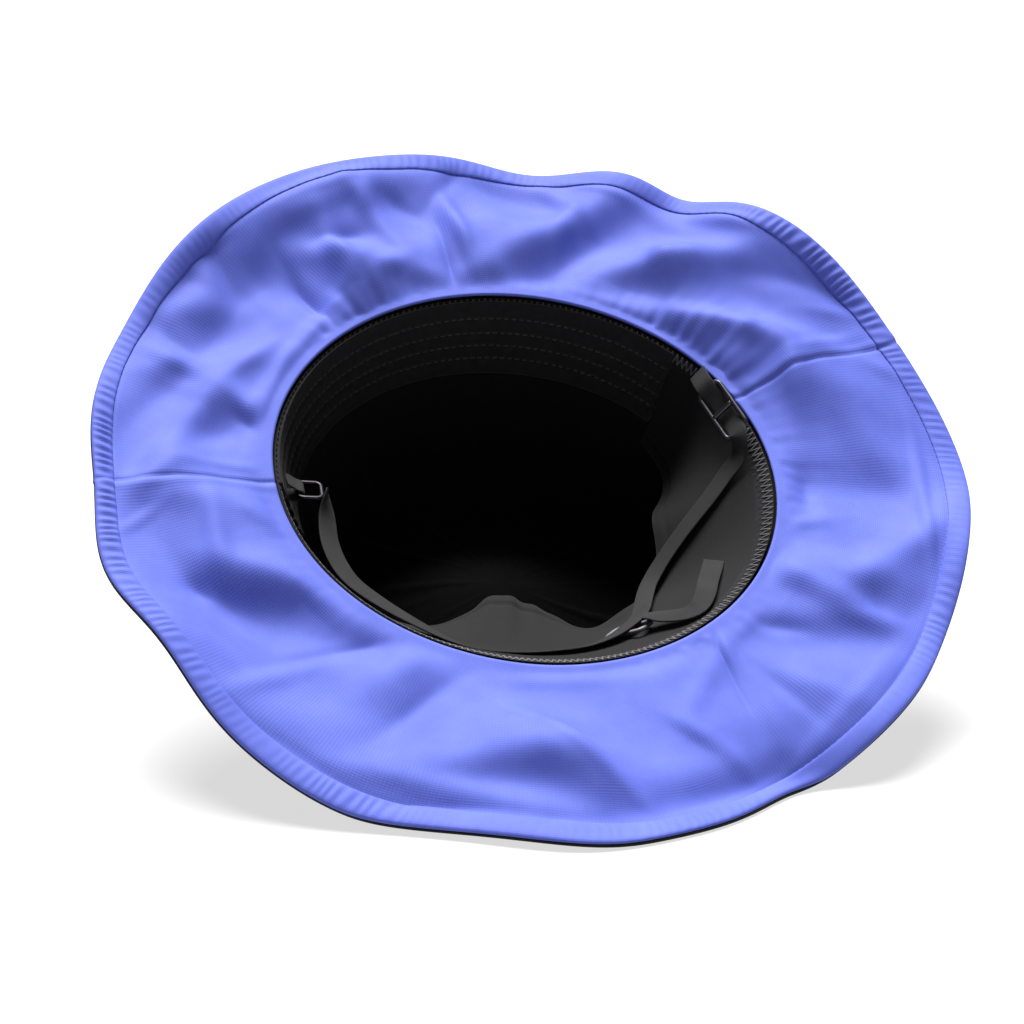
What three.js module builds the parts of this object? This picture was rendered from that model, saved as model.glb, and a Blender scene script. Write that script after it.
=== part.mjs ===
// A wide brim hunting hat lying on its crown and on the near edge of its brim.
// Millimetres, +Z up, X to the right, Y away from the viewer, the floor at Z = 0.

import * as THREE from 'three';
import { mergeVertices } from 'three/addons/utils/BufferGeometryUtils.js';

// Head opening: an oval whose long half is turned from the hat's right-hand side, degrees
const OPENING_HALF_LENGTH = 98;
const OPENING_HALF_WIDTH = 87.5;
const OPENING_TURN = 160;

// How the hat lies: its axis above the floor in degrees, and how far the brim's edge gives way
const AXIS_LEAN = 51;
const BRIM_SINK = 7;
const FLOOR_EASE = 5;

// Brim
const BRIM_WIDTH = 72;
const BRIM_CLOTH = 1.0;
const HEM_WIDTH = 9;
const HEM_PUFF = 0.9;

// Side seams of the brim and of the crown, degrees round the opening
const RIGHT_SEAM = 19;
const LEFT_SEAM = 180;
const SEAM_HALF_GAP = 0.1;

// Crown, its lining and what is sewn inside the rim
const CROWN_DEPTH = 97;
const CROWN_CLOTH = 1.2;
const LINING_CLOTH = 1.0;
const FRONT_BAND_WIDTH = 38;
const FRONT_BAND_CLOTH = 1.8;
const BACK_BAND_WIDTH = 50;
const BACK_BAND_CLOTH = 1.0;
const BAND_SEAM = 39;
const TAPE_WIDTH = 8;
const TAPE_CLOTH = 1.0;

// Chin strap, the tab and wire ring that hold its left end, and its slider and buckle
const STRAP_WIDTH = 8;
const STRAP_CLOTH = 1.0;
const RING_LENGTH = 11;
const RING_WIDTH = 12.4;
const RING_WIRE = 1.8;
const RING_ANGLE = 177.2;
const RING_INSET = 15.8;
const RING_OUT = -11;
const BUCKLE_LENGTH = 25;
const BUCKLE_WIDTH = 12.5;
const BUCKLE_THICKNESS = 1.8;
const BUCKLE_BAR = 1.9;
const SLIDER_LENGTH = 19;
const SLIDER_WIDTH = 11;
const SLIDER_THICKNESS = 1.6;
const SLIDER_BAR = 2;

// Clearance between neighbouring pieces
const GAP = 0.3;

// Steps round the front and the back half
const FRONT_STEPS = 26;
const BACK_STEPS = 33;

// Waves of the brim's edge: place and spread in degrees, lift and drawing-in as shares of BRIM_WIDTH
const BRIM_WAVES = [
  { at: 24, spread: 16, lift: 0.03, draw: 0 },
  { at: 42, spread: 14, lift: 0.2, draw: -0.02 },
  { at: 58, spread: 7, lift: -0.12, draw: 0 },
  { at: 67, spread: 9, lift: 0.07, draw: 0 },
  { at: 82, spread: 11, lift: -0.14, draw: 0 },
  { at: 100, spread: 15, lift: 0.04, draw: 0 },
  { at: 120, spread: 16, lift: 0.13, draw: -0.01 },
  { at: 142, spread: 16, lift: 0.06, draw: 0.01 },
  { at: 160, spread: 14, lift: -0.06, draw: 0.045 },
  { at: 182, spread: 15, lift: 0.11, draw: 0.06 },
  { at: 204, spread: 14, lift: 0.15, draw: 0.04 },
  { at: 224, spread: 15, lift: 0.04, draw: -0.01 },
  { at: 246, spread: 16, lift: -0.03, draw: 0 },
  { at: 266, spread: 15, lift: 0.14, draw: -0.01 },
  { at: 290, spread: 16, lift: -0.02, draw: 0 },
  { at: 310, spread: 16, lift: 0.06, draw: 0 },
  { at: 334, spread: 18, lift: 0, draw: 0.015 },
];

// Soft folds of the brim: place and spread in degrees, middle and reach across the brim as shares
// of its width, height as a share of BRIM_WIDTH
const BRIM_FOLDS = [
  { at: 128, spread: 7, middle: 0.3, reach: 0.3, height: -0.05 },
  { at: 98, spread: 9, middle: 0.55, reach: 0.3, height: -0.04 },
  { at: 62, spread: 8, middle: 0.5, reach: 0.35, height: -0.05 },
  { at: 30, spread: 8, middle: 0.5, reach: 0.3, height: 0.03 },
  { at: 350, spread: 9, middle: 0.6, reach: 0.3, height: -0.05 },
  { at: 322, spread: 8, middle: 0.4, reach: 0.3, height: 0.04 },
  { at: 212, spread: 9, middle: 0.4, reach: 0.3, height: -0.05 },
  { at: 176, spread: 9, middle: 0.7, reach: 0.3, height: -0.04 },
];

// Rings of the crown from the rim to its middle: radius as a share of the opening's,
// depth as a share of CROWN_DEPTH
const CROWN_RINGS = [
  { radius: 1, depth: 0 },
  { radius: 0.975, depth: 0.16 },
  { radius: 0.94, depth: 0.34 },
  { radius: 0.9, depth: 0.54 },
  { radius: 0.855, depth: 0.74 },
  { radius: 0.805, depth: 0.9 },
  { radius: 0.735, depth: 0.98 },
  { radius: 0.62, depth: 1 },
  { radius: 0.43, depth: 1 },
  { radius: 0.22, depth: 1 },
  { radius: 0, depth: 1 },
];
const TIP_SEAM_RING = 6;

// Places where the lying crown is pushed in: the middle across and up the hat as shares of
// OPENING_HALF_LENGTH, the spans as shares of it, the push as a share of CROWN_DEPTH
const CROWN_PUSHES = [
  { across: -0.1, up: 0.02, spanAcross: 0.42, spanUp: 0.26, push: 0.2 },
];

// How far the band inside the back half leans in from the wall: place and spread in degrees,
// lean as a share of the band's width
const BAND_LEANS = [
  { at: 358, spread: 24, lean: 0.6 },
  { at: 320, spread: 26, lean: 0.5 },
  { at: 290, spread: 24, lean: 0.3 },
  { at: 262, spread: 26, lean: 0.42 },
  { at: 212, spread: 28, lean: 0.3 },
];

// Middle of the chin strap, from the wire ring round the back band to the rim at the right:
// x, y and z, and how far out on the hat's axis lies the point that its face looks at
const CHIN_STRAP_ROUTE = [
  [-74.4, 9.8, 87.4, -9], [-74.8, 7.6, 83, -5], [-75.2, 3, 77.6, 0], [-75.2, -5, 71.4, 8], [-72.8, -14, 65.2, 16],
  [-68, -22, 59.8, 22], [-58, -31, 53.8, 26], [-46.5, -39, 48.2, 26], [-36, -44.8, 43.5, 26],
  [-25.7, -49.1, 40.6, 26], [-13.4, -51, 39.1, 26], [0, -50.4, 38.7, 26], [13.3, -47.2, 38.6, 26],
  [24, -41.5, 39.8, 30], [32.5, -34, 41.6, 34], [38.8, -25, 42.6, 36], [43, -13, 43.6, 36], [46.6, -3.5, 46.2, 36],
  [51.2, 2.4, 50.8, 36], [57.2, 5.6, 58, 36], [64.6, 6.6, 67.6, 40], [73.2, 7.4, 78, 48], [80, 8.4, 87, 58],
  [84.6, 7.4, 94.4, 68], [86.2, 9.2, 101.6, 75], [83.1, 15.3, 106.7, 75], [80, 21.5, 111.9, 75], [76.9, 27.6, 117, 75],
  [73.8, 33, 121.4, 75],
];
const SLIDER_ROW = 14;
const BUCKLE_ROW = 25.5;

// Middle of the strap's free end, from the slider up the back band, in the same columns
const STRAP_TAIL_ROUTE = [
  [44.8, -40.2, 46.8, 28], [48.6, -43.4, 47.8, 26], [52.6, -45.1, 49, 24], [56.8, -44.6, 51, 24], [60.4, -39.6, 53.6, 26],
  [63.6, -31.2, 56.2, 28], [66.8, -23.6, 58.4, 28], [69, -18, 60, 28],
];

// Left tab's loop round the wire ring: distances from the ring's left bar across and upwards
const TAB_LOOP = [
  [-4.4, 4.6], [-3.2, 3.9], [-1.8, 3], [-0.4, 2.2], [1.5, 1.5], [2.15, 0], [1.5, -1.5], [0, -2.15], [-2, -2.25],
  [-3.8, -2.3],
];

const RAD = Math.PI / 180;
const LEAN_SIN = Math.sin(AXIS_LEAN * RAD);
const LEAN_COS = Math.cos(AXIS_LEAN * RAD);
const OPENING_HEIGHT = (OPENING_HALF_WIDTH + BRIM_WIDTH) * LEAN_COS - BRIM_SINK;

// A point given across the opening, up the opening and out along the hat's axis
function place(across, up, out) {
  return new THREE.Vector3(
    across,
    up * LEAN_SIN - out * LEAN_COS,
    OPENING_HEIGHT + up * LEAN_COS + out * LEAN_SIN,
  );
}

// A height eased to the lowest one that the floor leaves free
function settle(height, lowest) {
  const above = height - lowest;
  if (above < -FLOOR_EASE) return lowest;
  if (above > FLOOR_EASE) return height;
  return lowest + (above + FLOOR_EASE) ** 2 / (4 * FLOOR_EASE);
}

// A smooth bump that is 1 at no distance and fades past the spread
function bump(distance, spread) {
  return Math.exp(-((distance / spread) ** 2));
}

function degreesBetween(a, b) {
  return ((((a - b + 180) % 360) + 360) % 360) - 180;
}

function sumRound(rows, angle, column) {
  return rows.reduce((sum, row) => sum + row[column] * bump(degreesBetween(angle, row.at), row.spread), 0);
}

function openingRadius(angle) {
  const turned = (angle - OPENING_TURN) * RAD;
  return (OPENING_HALF_LENGTH * OPENING_HALF_WIDTH)
    / Math.hypot(OPENING_HALF_WIDTH * Math.cos(turned), OPENING_HALF_LENGTH * Math.sin(turned));
}

// Middle surface of the brim, between its two cloths: share is 0 at the rim and 1 at the edge
const BRIM_START = CROWN_CLOTH / 2 + GAP;
const BRIM_LOWEST = GAP / 2 + BRIM_CLOTH + HEM_PUFF;

function brimPoint(angle, share) {
  const edgeLift = sumRound(BRIM_WAVES, angle, 'lift');
  const drawnIn = sumRound(BRIM_WAVES, angle, 'draw');
  const reach = BRIM_WIDTH * share * (1 - drawnIn * share) * Math.sqrt(1 - edgeLift ** 2);
  const folds = BRIM_FOLDS.reduce((sum, fold) => sum
    + fold.height * bump(degreesBetween(angle, fold.at), fold.spread) * bump(share - fold.middle, fold.reach), 0);
  const rise = BRIM_WIDTH * (edgeLift * share ** 1.5 + folds * Math.min(1, 6 * share));
  const radius = openingRadius(angle) + BRIM_START + reach;
  const point = place(radius * Math.cos(angle * RAD), radius * Math.sin(angle * RAD), rise);
  point.z = settle(point.z, BRIM_LOWEST);
  return point;
}

// Middle surface of the crown's cloth: ring counts down CROWN_RINGS, with smooth steps between
function ringValue(column, ring) {
  const last = CROWN_RINGS.length - 1;
  const at = Math.min(Math.floor(ring), last - 1);
  const share = ring - at;
  const value = (k) => CROWN_RINGS[Math.max(0, Math.min(last, k))][column];
  const slope = (k) => (value(k + 1) - value(k - 1)) / 2;
  const s2 = share * share;
  const s3 = s2 * share;
  return (2 * s3 - 3 * s2 + 1) * value(at) + (s3 - 2 * s2 + share) * slope(at)
    + (3 * s2 - 2 * s3) * value(at + 1) + (s3 - s2) * slope(at + 1);
}

function crownPoint(angle, ring) {
  const radius = openingRadius(angle) * ringValue('radius', ring);
  const depth = CROWN_DEPTH * ringValue('depth', ring);
  const across = radius * Math.cos(angle * RAD);
  const up = radius * Math.sin(angle * RAD);
  const deep = (depth / CROWN_DEPTH) ** 4;
  const push = CROWN_PUSHES.reduce((sum, row) => sum + row.push * CROWN_DEPTH * deep
    * bump(across / OPENING_HALF_LENGTH - row.across, row.spanAcross)
    * bump(up / OPENING_HALF_LENGTH - row.up, row.spanUp), 0);
  const point = place(across, up, push - depth);
  point.z = settle(point.z, CROWN_CLOTH / 2);
  return point;
}

// Unit normal of a middle surface from small steps each way: it points to the opening's side
// of the brim and to the outside of the crown
function normalAt(surface, angle, share, step) {
  const round = surface(angle + 1, share).sub(surface(angle - 1, share));
  const across = surface(angle, share + step).sub(surface(angle, Math.max(0, share - step)));
  return across.cross(round).normalize();
}

// A closed cloth piece between two offsets of a middle surface, over a grid of angles and rows.
// Each row has its share, its lower and its upper offset. A ring of angles closes on itself,
// and a last row with pole set closes to one point.
function clothPiece(surface, angles, rows, step, closed) {
  const positions = [];
  const faces = [];
  const poleRow = rows[rows.length - 1].pole ? rows.length - 1 : -1;
  const side = (upper) => rows.map((row, r) => angles.map((angle) => {
    if (r === poleRow && angle !== angles[0]) return null;
    const probe = r === poleRow ? row.share - step : row.share;
    const normal = normalAt(surface, angle, probe, step);
    if (r === poleRow) {
      normal.set(0, 0, 0);
      angles.forEach((each) => normal.add(normalAt(surface, each, probe, step)));
      normal.normalize();
    }
    const point = surface(angle, row.share).addScaledVector(normal, upper ? row.high : row.low);
    positions.push(point.x, point.y, point.z);
    return positions.length / 3 - 1;
  }));
  const top = side(true);
  const bottom = side(false);
  const index = (grid, r, a) => (r === poleRow ? grid[r][0] : grid[r][a % angles.length]);
  const spans = closed ? angles.length : angles.length - 1;
  const quad = (a, b, c, d) => {
    if (a !== b && b !== c && a !== c) faces.push(a, b, c);
    if (a !== c && c !== d && a !== d) faces.push(a, c, d);
  };
  for (let r = 0; r + 1 < rows.length; r += 1) {
    for (let a = 0; a < spans; a += 1) {
      quad(index(top, r, a), index(top, r + 1, a), index(top, r + 1, a + 1), index(top, r, a + 1));
      quad(index(bottom, r, a), index(bottom, r, a + 1), index(bottom, r + 1, a + 1), index(bottom, r + 1, a));
    }
    if (!closed) {
      const z = angles.length - 1;
      quad(top[r][0], bottom[r][0], bottom[r + 1][0], top[r + 1][0]);
      quad(top[r][z], top[r + 1][z], bottom[r + 1][z], bottom[r][z]);
    }
  }
  for (let a = 0; a < spans; a += 1) {
    quad(index(top, 0, a), index(top, 0, a + 1), index(bottom, 0, a + 1), index(bottom, 0, a));
    if (poleRow < 0) {
      const z = rows.length - 1;
      quad(index(top, z, a), index(bottom, z, a), index(bottom, z, a + 1), index(top, z, a + 1));
    }
  }
  const geometry = new THREE.BufferGeometry();
  geometry.setAttribute('position', new THREE.Float32BufferAttribute(positions, 3));
  geometry.setIndex(faces);
  return geometry;
}

function angleSteps(from, to, steps) {
  return Array.from({ length: steps + 1 }, (_, k) => from + ((to - from) * k) / steps);
}

const FRONT_ANGLES = angleSteps(RIGHT_SEAM + SEAM_HALF_GAP, LEFT_SEAM - SEAM_HALF_GAP, FRONT_STEPS);
const BACK_ANGLES = angleSteps(LEFT_SEAM + SEAM_HALF_GAP, RIGHT_SEAM + 360 - SEAM_HALF_GAP, BACK_STEPS);
const ROUND_ANGLES = [
  ...angleSteps(RIGHT_SEAM, LEFT_SEAM, FRONT_STEPS),
  ...angleSteps(LEFT_SEAM, RIGHT_SEAM + 360, BACK_STEPS).slice(1, -1),
];

const hat = new THREE.Group();

function addPiece(name, geometry, finish) {
  geometry.computeVertexNormals();
  const mesh = new THREE.Mesh(geometry, new THREE.MeshStandardMaterial(finish));
  mesh.name = name;
  hat.add(mesh);
}

const BLUE_CLOTH = { color: '#5b6ee6', roughness: 0.75, metalness: 0 };
const BLACK_CLOTH = { color: '#1c1b1f', roughness: 0.9, metalness: 0 };
const LINING_FINISH = { color: '#141317', roughness: 0.85, metalness: 0 };
const WEBBING_FINISH = { color: '#3a3639', roughness: 0.8, metalness: 0 };
const WIRE = { color: '#77757a', roughness: 0.35, metalness: 0.8 };
const MOULDED_GREY = { color: '#6b686d', roughness: 0.4, metalness: 0 };

// Brim: blue cloth on the side that faces the head, black cloth on the upper side
const HEM_START = 1 - HEM_WIDTH / BRIM_WIDTH;
const BRIM_ROWS = [
  { share: 0, puff: 0 },
  { share: 0.15, puff: 0 },
  { share: 0.38, puff: 0 },
  { share: 0.63, puff: 0 },
  { share: HEM_START, puff: 0 },
  { share: (1 + HEM_START) / 2, puff: HEM_PUFF },
  { share: 1, puff: 0 },
];
const UNDER_BRIM_ROWS = BRIM_ROWS.map(({ share, puff }) => ({
  share, low: GAP / 2, high: GAP / 2 + BRIM_CLOTH + puff,
}));
const BRIM_TOP_ROWS = BRIM_ROWS.map(({ share, puff }) => ({
  share, low: -GAP / 2 - BRIM_CLOTH - puff, high: -GAP / 2,
}));
const BRIM_STEP = 0.05;
addPiece('under_brim_front', clothPiece(brimPoint, FRONT_ANGLES, UNDER_BRIM_ROWS, BRIM_STEP, false), BLUE_CLOTH);
addPiece('under_brim_back', clothPiece(brimPoint, BACK_ANGLES, UNDER_BRIM_ROWS, BRIM_STEP, false), BLUE_CLOTH);
addPiece('brim_top_front', clothPiece(brimPoint, FRONT_ANGLES, BRIM_TOP_ROWS, BRIM_STEP, false), BLACK_CLOTH);
addPiece('brim_top_back', clothPiece(brimPoint, BACK_ANGLES, BRIM_TOP_ROWS, BRIM_STEP, false), BLACK_CLOTH);

// Crown: a side wall in two halves, and an oval tip sewn to it
const RING_STEP = 0.25;
const SHELL = { low: -CROWN_CLOTH / 2, high: CROWN_CLOTH / 2 };
const TIP_SEAM_LENGTH = CROWN_DEPTH * (CROWN_RINGS[TIP_SEAM_RING].depth - CROWN_RINGS[TIP_SEAM_RING - 1].depth);
const TIP_SEAM_GAP = GAP / TIP_SEAM_LENGTH;
const SIDE_ROWS = CROWN_RINGS.slice(0, TIP_SEAM_RING).map((_, ring) => ({ share: ring, ...SHELL }));
SIDE_ROWS.push({ share: TIP_SEAM_RING - TIP_SEAM_GAP, ...SHELL });
const TIP_ROWS = CROWN_RINGS.slice(TIP_SEAM_RING).map((_, k) => ({ share: TIP_SEAM_RING + k, ...SHELL }));
TIP_ROWS[TIP_ROWS.length - 1].pole = true;
addPiece('crown_side_front', clothPiece(crownPoint, FRONT_ANGLES, SIDE_ROWS, RING_STEP, false), BLACK_CLOTH);
addPiece('crown_side_back', clothPiece(crownPoint, BACK_ANGLES, SIDE_ROWS, RING_STEP, false), BLACK_CLOTH);
addPiece('crown_tip', clothPiece(crownPoint, ROUND_ANGLES, TIP_ROWS, RING_STEP, true), BLACK_CLOTH);

// Lining: one thin bag that follows the crown
const LINING_HIGH = -CROWN_CLOTH / 2 - GAP;
const LINING = { low: LINING_HIGH - LINING_CLOTH, high: LINING_HIGH };
const LINING_ROWS = CROWN_RINGS.map((_, ring) => ({ share: ring, ...LINING }));
LINING_ROWS[LINING_ROWS.length - 1].pole = true;
addPiece('crown_lining', clothPiece(crownPoint, ROUND_ANGLES, LINING_ROWS, RING_STEP, true), LINING_FINISH);

// Bands and rim tape: they hang from the rim along the lining, and the back one leans in
function ringAtDepth(depth) {
  const share = depth / CROWN_DEPTH;
  const at = CROWN_RINGS.findIndex((row) => row.depth > share) - 1;
  return at + (share - CROWN_RINGS[at].depth) / (CROWN_RINGS[at + 1].depth - CROWN_RINGS[at].depth);
}

const BAND_INSET = CROWN_CLOTH / 2 + GAP + LINING_CLOTH + GAP;
const TAPE_INSET = FRONT_BAND_CLOTH + GAP;

function bandPoint(angle, along) {
  const lean = sumRound(BAND_LEANS, angle, 'lean');
  const depth = along * Math.sqrt(1 - lean ** 2);
  const wall = openingRadius(angle) * ringValue('radius', ringAtDepth(Math.max(0, depth)));
  const radius = wall - BAND_INSET - along * lean;
  return place(radius * Math.cos(angle * RAD), radius * Math.sin(angle * RAD), -depth);
}

function bandRows(width, cloth, steps) {
  return Array.from({ length: steps + 1 }, (_, k) => ({ share: GAP + ((width - GAP) * k) / steps, low: -cloth, high: 0 }));
}

const FRONT_BAND_ANGLES = angleSteps(BAND_SEAM + SEAM_HALF_GAP, LEFT_SEAM - SEAM_HALF_GAP, FRONT_STEPS - 4);
const BACK_BAND_ANGLES = angleSteps(LEFT_SEAM + SEAM_HALF_GAP, BAND_SEAM + 360 - SEAM_HALF_GAP, BACK_STEPS + 4);
const BAND_STEP = 0.5;
addPiece('sweatband_front', clothPiece(
  bandPoint, FRONT_BAND_ANGLES, bandRows(FRONT_BAND_WIDTH, FRONT_BAND_CLOTH, 3), BAND_STEP, false,
), LINING_FINISH);
addPiece('sweatband_back', clothPiece(
  bandPoint, BACK_BAND_ANGLES, bandRows(BACK_BAND_WIDTH, BACK_BAND_CLOTH, 4), BAND_STEP, false,
), LINING_FINISH);
const TAPE_ROWS = bandRows(TAPE_WIDTH, TAPE_CLOTH, 1).map(({ share }) => ({
  share, low: -TAPE_INSET - TAPE_CLOTH, high: -TAPE_INSET,
}));
addPiece('rim_tape', clothPiece(bandPoint, ROUND_ANGLES, TAPE_ROWS, BAND_STEP, true), LINING_FINISH);

// Where a strap's route is at a row number: its middle, and the directions along it, across
// its width and out of its face
function routePoint(route, row) {
  const last = route.length - 1;
  const at = Math.min(Math.floor(row), last - 1);
  const t = row - at;
  const value = (k, column) => (k < 0 ? 2 * route[0][column] - route[1][column]
    : k > last ? 2 * route[last][column] - route[last - 1][column] : route[k][column]);
  return route[0].map((_, column) => {
    const [a, b, c, d] = [at - 1, at, at + 1, at + 2].map((k) => value(k, column));
    return 0.5 * (2 * b + (c - a) * t + (2 * a - 5 * b + 4 * c - d) * t * t + (3 * b - a - 3 * c + d) * t ** 3);
  });
}

function strapStation(route, row) {
  const [x, y, z, facing] = routePoint(route, row);
  const middle = new THREE.Vector3(x, y, z);
  const before = routePoint(route, Math.max(0, row - 0.05));
  const after = routePoint(route, Math.min(route.length - 1, row + 0.05));
  const along = new THREE.Vector3(after[0] - before[0], after[1] - before[1], after[2] - before[2]).normalize();
  const side = along.clone().cross(place(0, 0, facing).sub(middle)).normalize();
  return { middle, along, side, face: side.clone().cross(along) };
}

// A flat webbing through a list of stations
function webbing(stations, width, thickness) {
  const positions = [];
  const faces = [];
  stations.forEach(({ middle, side, face }) => {
    [[1, 1], [-1, 1], [-1, -1], [1, -1]].forEach(([s, f]) => {
      const corner = middle.clone().addScaledVector(side, (s * width) / 2).addScaledVector(face, (f * thickness) / 2);
      positions.push(corner.x, corner.y, corner.z);
    });
  });
  const quad = (a, b, c, d) => faces.push(a, b, c, a, c, d);
  const last = stations.length - 1;
  for (let k = 0; k < last; k += 1) {
    for (let c = 0; c < 4; c += 1) {
      const next = (c + 1) % 4;
      quad(4 * k + c, 4 * k + 4 + c, 4 * k + 4 + next, 4 * k + next);
    }
  }
  quad(0, 1, 2, 3);
  quad(4 * last + 3, 4 * last + 2, 4 * last + 1, 4 * last);
  const geometry = new THREE.BufferGeometry();
  geometry.setAttribute('position', new THREE.Float32BufferAttribute(positions, 3));
  geometry.setIndex(faces);
  return geometry;
}

function strapStations(route, steps) {
  return Array.from({ length: steps + 1 }, (_, k) => strapStation(route, ((route.length - 1) * k) / steps));
}

// A flat frame with rounded corners and one or two windows along its length, its middle at
// the origin
function frameWithWindows(length, width, thickness, bar, windows) {
  const roundedRect = (path, left, bottom, right, top, radius) => {
    path.moveTo(left + radius, bottom);
    path.lineTo(right - radius, bottom);
    path.absarc(right - radius, bottom + radius, radius, -Math.PI / 2, 0);
    path.lineTo(right, top - radius);
    path.absarc(right - radius, top - radius, radius, 0, Math.PI / 2);
    path.lineTo(left + radius, top);
    path.absarc(left + radius, top - radius, radius, Math.PI / 2, Math.PI);
    path.lineTo(left, bottom + radius);
    path.absarc(left + radius, bottom + radius, radius, Math.PI, 1.5 * Math.PI);
    return path;
  };
  const outline = roundedRect(new THREE.Shape(), -length / 2, -width / 2, length / 2, width / 2, 1.4 * bar);
  const span = (length - bar * (windows + 1)) / windows;
  for (let k = 0; k < windows; k += 1) {
    const left = -length / 2 + bar + k * (span + bar);
    outline.holes.push(roundedRect(new THREE.Path(), left, -width / 2 + bar, left + span, width / 2 - bar, bar / 2));
  }
  const geometry = new THREE.ExtrudeGeometry(outline, { depth: thickness, bevelEnabled: false, curveSegments: 3 });
  geometry.translate(0, 0, -thickness / 2);
  geometry.deleteAttribute('normal');
  geometry.deleteAttribute('uv');
  return mergeVertices(geometry);
}

// Lays a flat piece so that its length, width and thickness follow given directions
function layAt(geometry, middle, lengthwise, widthwise) {
  const x = lengthwise.clone().normalize();
  const z = x.clone().cross(widthwise).normalize();
  return geometry.applyMatrix4(new THREE.Matrix4().makeBasis(x, z.clone().cross(x), z).setPosition(middle));
}

// Wire ring at the left: it hangs in the tab and holds the start of the chin strap
const RING_ALONG = new THREE.Vector3(1, 0, -0.1).normalize();
const RING_ACROSS = new THREE.Vector3(0, 0.95, 0.3).normalize();
const RING_RADIUS = openingRadius(RING_ANGLE) - RING_INSET;
const ringMiddle = place(RING_RADIUS * Math.cos(RING_ANGLE * RAD), RING_RADIUS * Math.sin(RING_ANGLE * RAD), RING_OUT);
const ring = frameWithWindows(RING_LENGTH, RING_WIDTH, RING_WIRE, RING_WIRE, 1);
addPiece('strap_ring', layAt(ring, ringMiddle, RING_ALONG, RING_ACROSS), WIRE);

// Tab: webbing sewn in at the left seam and folded round the ring's left bar
const TAB_UP = RING_ALONG.clone().cross(RING_ACROSS);
const tabBar = ringMiddle.clone().addScaledVector(RING_ALONG, (RING_WIRE - RING_LENGTH) / 2);
const TAB_STEPS = 18;
const tabPoint = (row) => {
  const [across, up] = routePoint(TAB_LOOP, row);
  return tabBar.clone().addScaledVector(RING_ALONG, across).addScaledVector(TAB_UP, up);
};
const tabStations = Array.from({ length: TAB_STEPS + 1 }, (_, k) => {
  const row = ((TAB_LOOP.length - 1) * k) / TAB_STEPS;
  const along = tabPoint(Math.min(TAB_LOOP.length - 1, row + 0.05)).sub(tabPoint(Math.max(0, row - 0.05))).normalize();
  return { middle: tabPoint(row), side: RING_ACROSS, face: RING_ACROSS.clone().cross(along) };
});
addPiece('tab_left', webbing(tabStations, STRAP_WIDTH, STRAP_CLOTH), WEBBING_FINISH);

// Chin strap and its free end
const STRAP_STEPS = 76;
const TAIL_STEPS = 18;
addPiece('chin_strap', webbing(strapStations(CHIN_STRAP_ROUTE, STRAP_STEPS), STRAP_WIDTH, STRAP_CLOTH), WEBBING_FINISH);
addPiece('strap_tail', webbing(strapStations(STRAP_TAIL_ROUTE, TAIL_STEPS), STRAP_WIDTH, STRAP_CLOTH), WEBBING_FINISH);

// Slider under the strap where its free end starts, and the buckle over it near the rim
function layByStrap(geometry, row, away, lengthwise, widthwise) {
  const station = strapStation(CHIN_STRAP_ROUTE, row);
  const middle = station.middle.clone().addScaledVector(station.face, away);
  return layAt(geometry, middle, station[lengthwise], station[widthwise]);
}
const slider = frameWithWindows(SLIDER_LENGTH, SLIDER_WIDTH, SLIDER_THICKNESS, SLIDER_BAR, 2);
const SLIDER_AWAY = -(STRAP_CLOTH + SLIDER_THICKNESS) / 2 - GAP;
addPiece('strap_slider', layByStrap(slider, SLIDER_ROW, SLIDER_AWAY, 'side', 'along'), MOULDED_GREY);
const buckle = frameWithWindows(BUCKLE_LENGTH, BUCKLE_WIDTH, BUCKLE_THICKNESS, BUCKLE_BAR, 2);
const BUCKLE_AWAY = (STRAP_CLOTH + BUCKLE_THICKNESS) / 2 + GAP;
addPiece('strap_buckle', layByStrap(buckle, BUCKLE_ROW, BUCKLE_AWAY, 'along', 'side'), WIRE);

export default hat;
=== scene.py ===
"""A wide brim hunting hat lying on its crown and on the near edge of its brim.

Sizes inside a section are in millimetres and degrees; every mesh is written in metres, in the frame
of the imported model. The opening faces the viewer: across is +X, up the opening is up and away from
the viewer, and out is along the hat's axis towards the viewer.
"""
import math

import bmesh
import bpy
import numpy as np
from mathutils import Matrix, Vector


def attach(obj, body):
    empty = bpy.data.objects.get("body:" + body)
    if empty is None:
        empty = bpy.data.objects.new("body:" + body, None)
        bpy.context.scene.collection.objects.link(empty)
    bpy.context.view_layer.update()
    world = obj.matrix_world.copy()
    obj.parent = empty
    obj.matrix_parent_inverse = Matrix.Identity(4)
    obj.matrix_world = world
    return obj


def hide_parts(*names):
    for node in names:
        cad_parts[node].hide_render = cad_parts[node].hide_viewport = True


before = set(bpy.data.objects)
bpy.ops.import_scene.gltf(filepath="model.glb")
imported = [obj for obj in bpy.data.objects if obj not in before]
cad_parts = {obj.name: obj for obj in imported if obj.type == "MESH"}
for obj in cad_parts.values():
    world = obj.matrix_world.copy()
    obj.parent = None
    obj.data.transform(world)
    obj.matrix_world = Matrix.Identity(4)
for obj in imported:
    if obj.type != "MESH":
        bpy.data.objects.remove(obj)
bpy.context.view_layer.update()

# ---------------------------------------------------------------------------
# Camera: a long lens a metre from the opening's middle, ten degrees to the
# left of the hat and fifteen above the floor, as the photograph was taken.
# ---------------------------------------------------------------------------
CAMERA_AZIMUTH = -10
CAMERA_ELEVATION = 15
CAMERA_DISTANCE = 1.0
CAMERA_LENS = 93.16
OPENING_MIDDLE = Vector((0, 0, 0.09338))
FRAME_SHIFT = (-0.0137, -0.0391)

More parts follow.
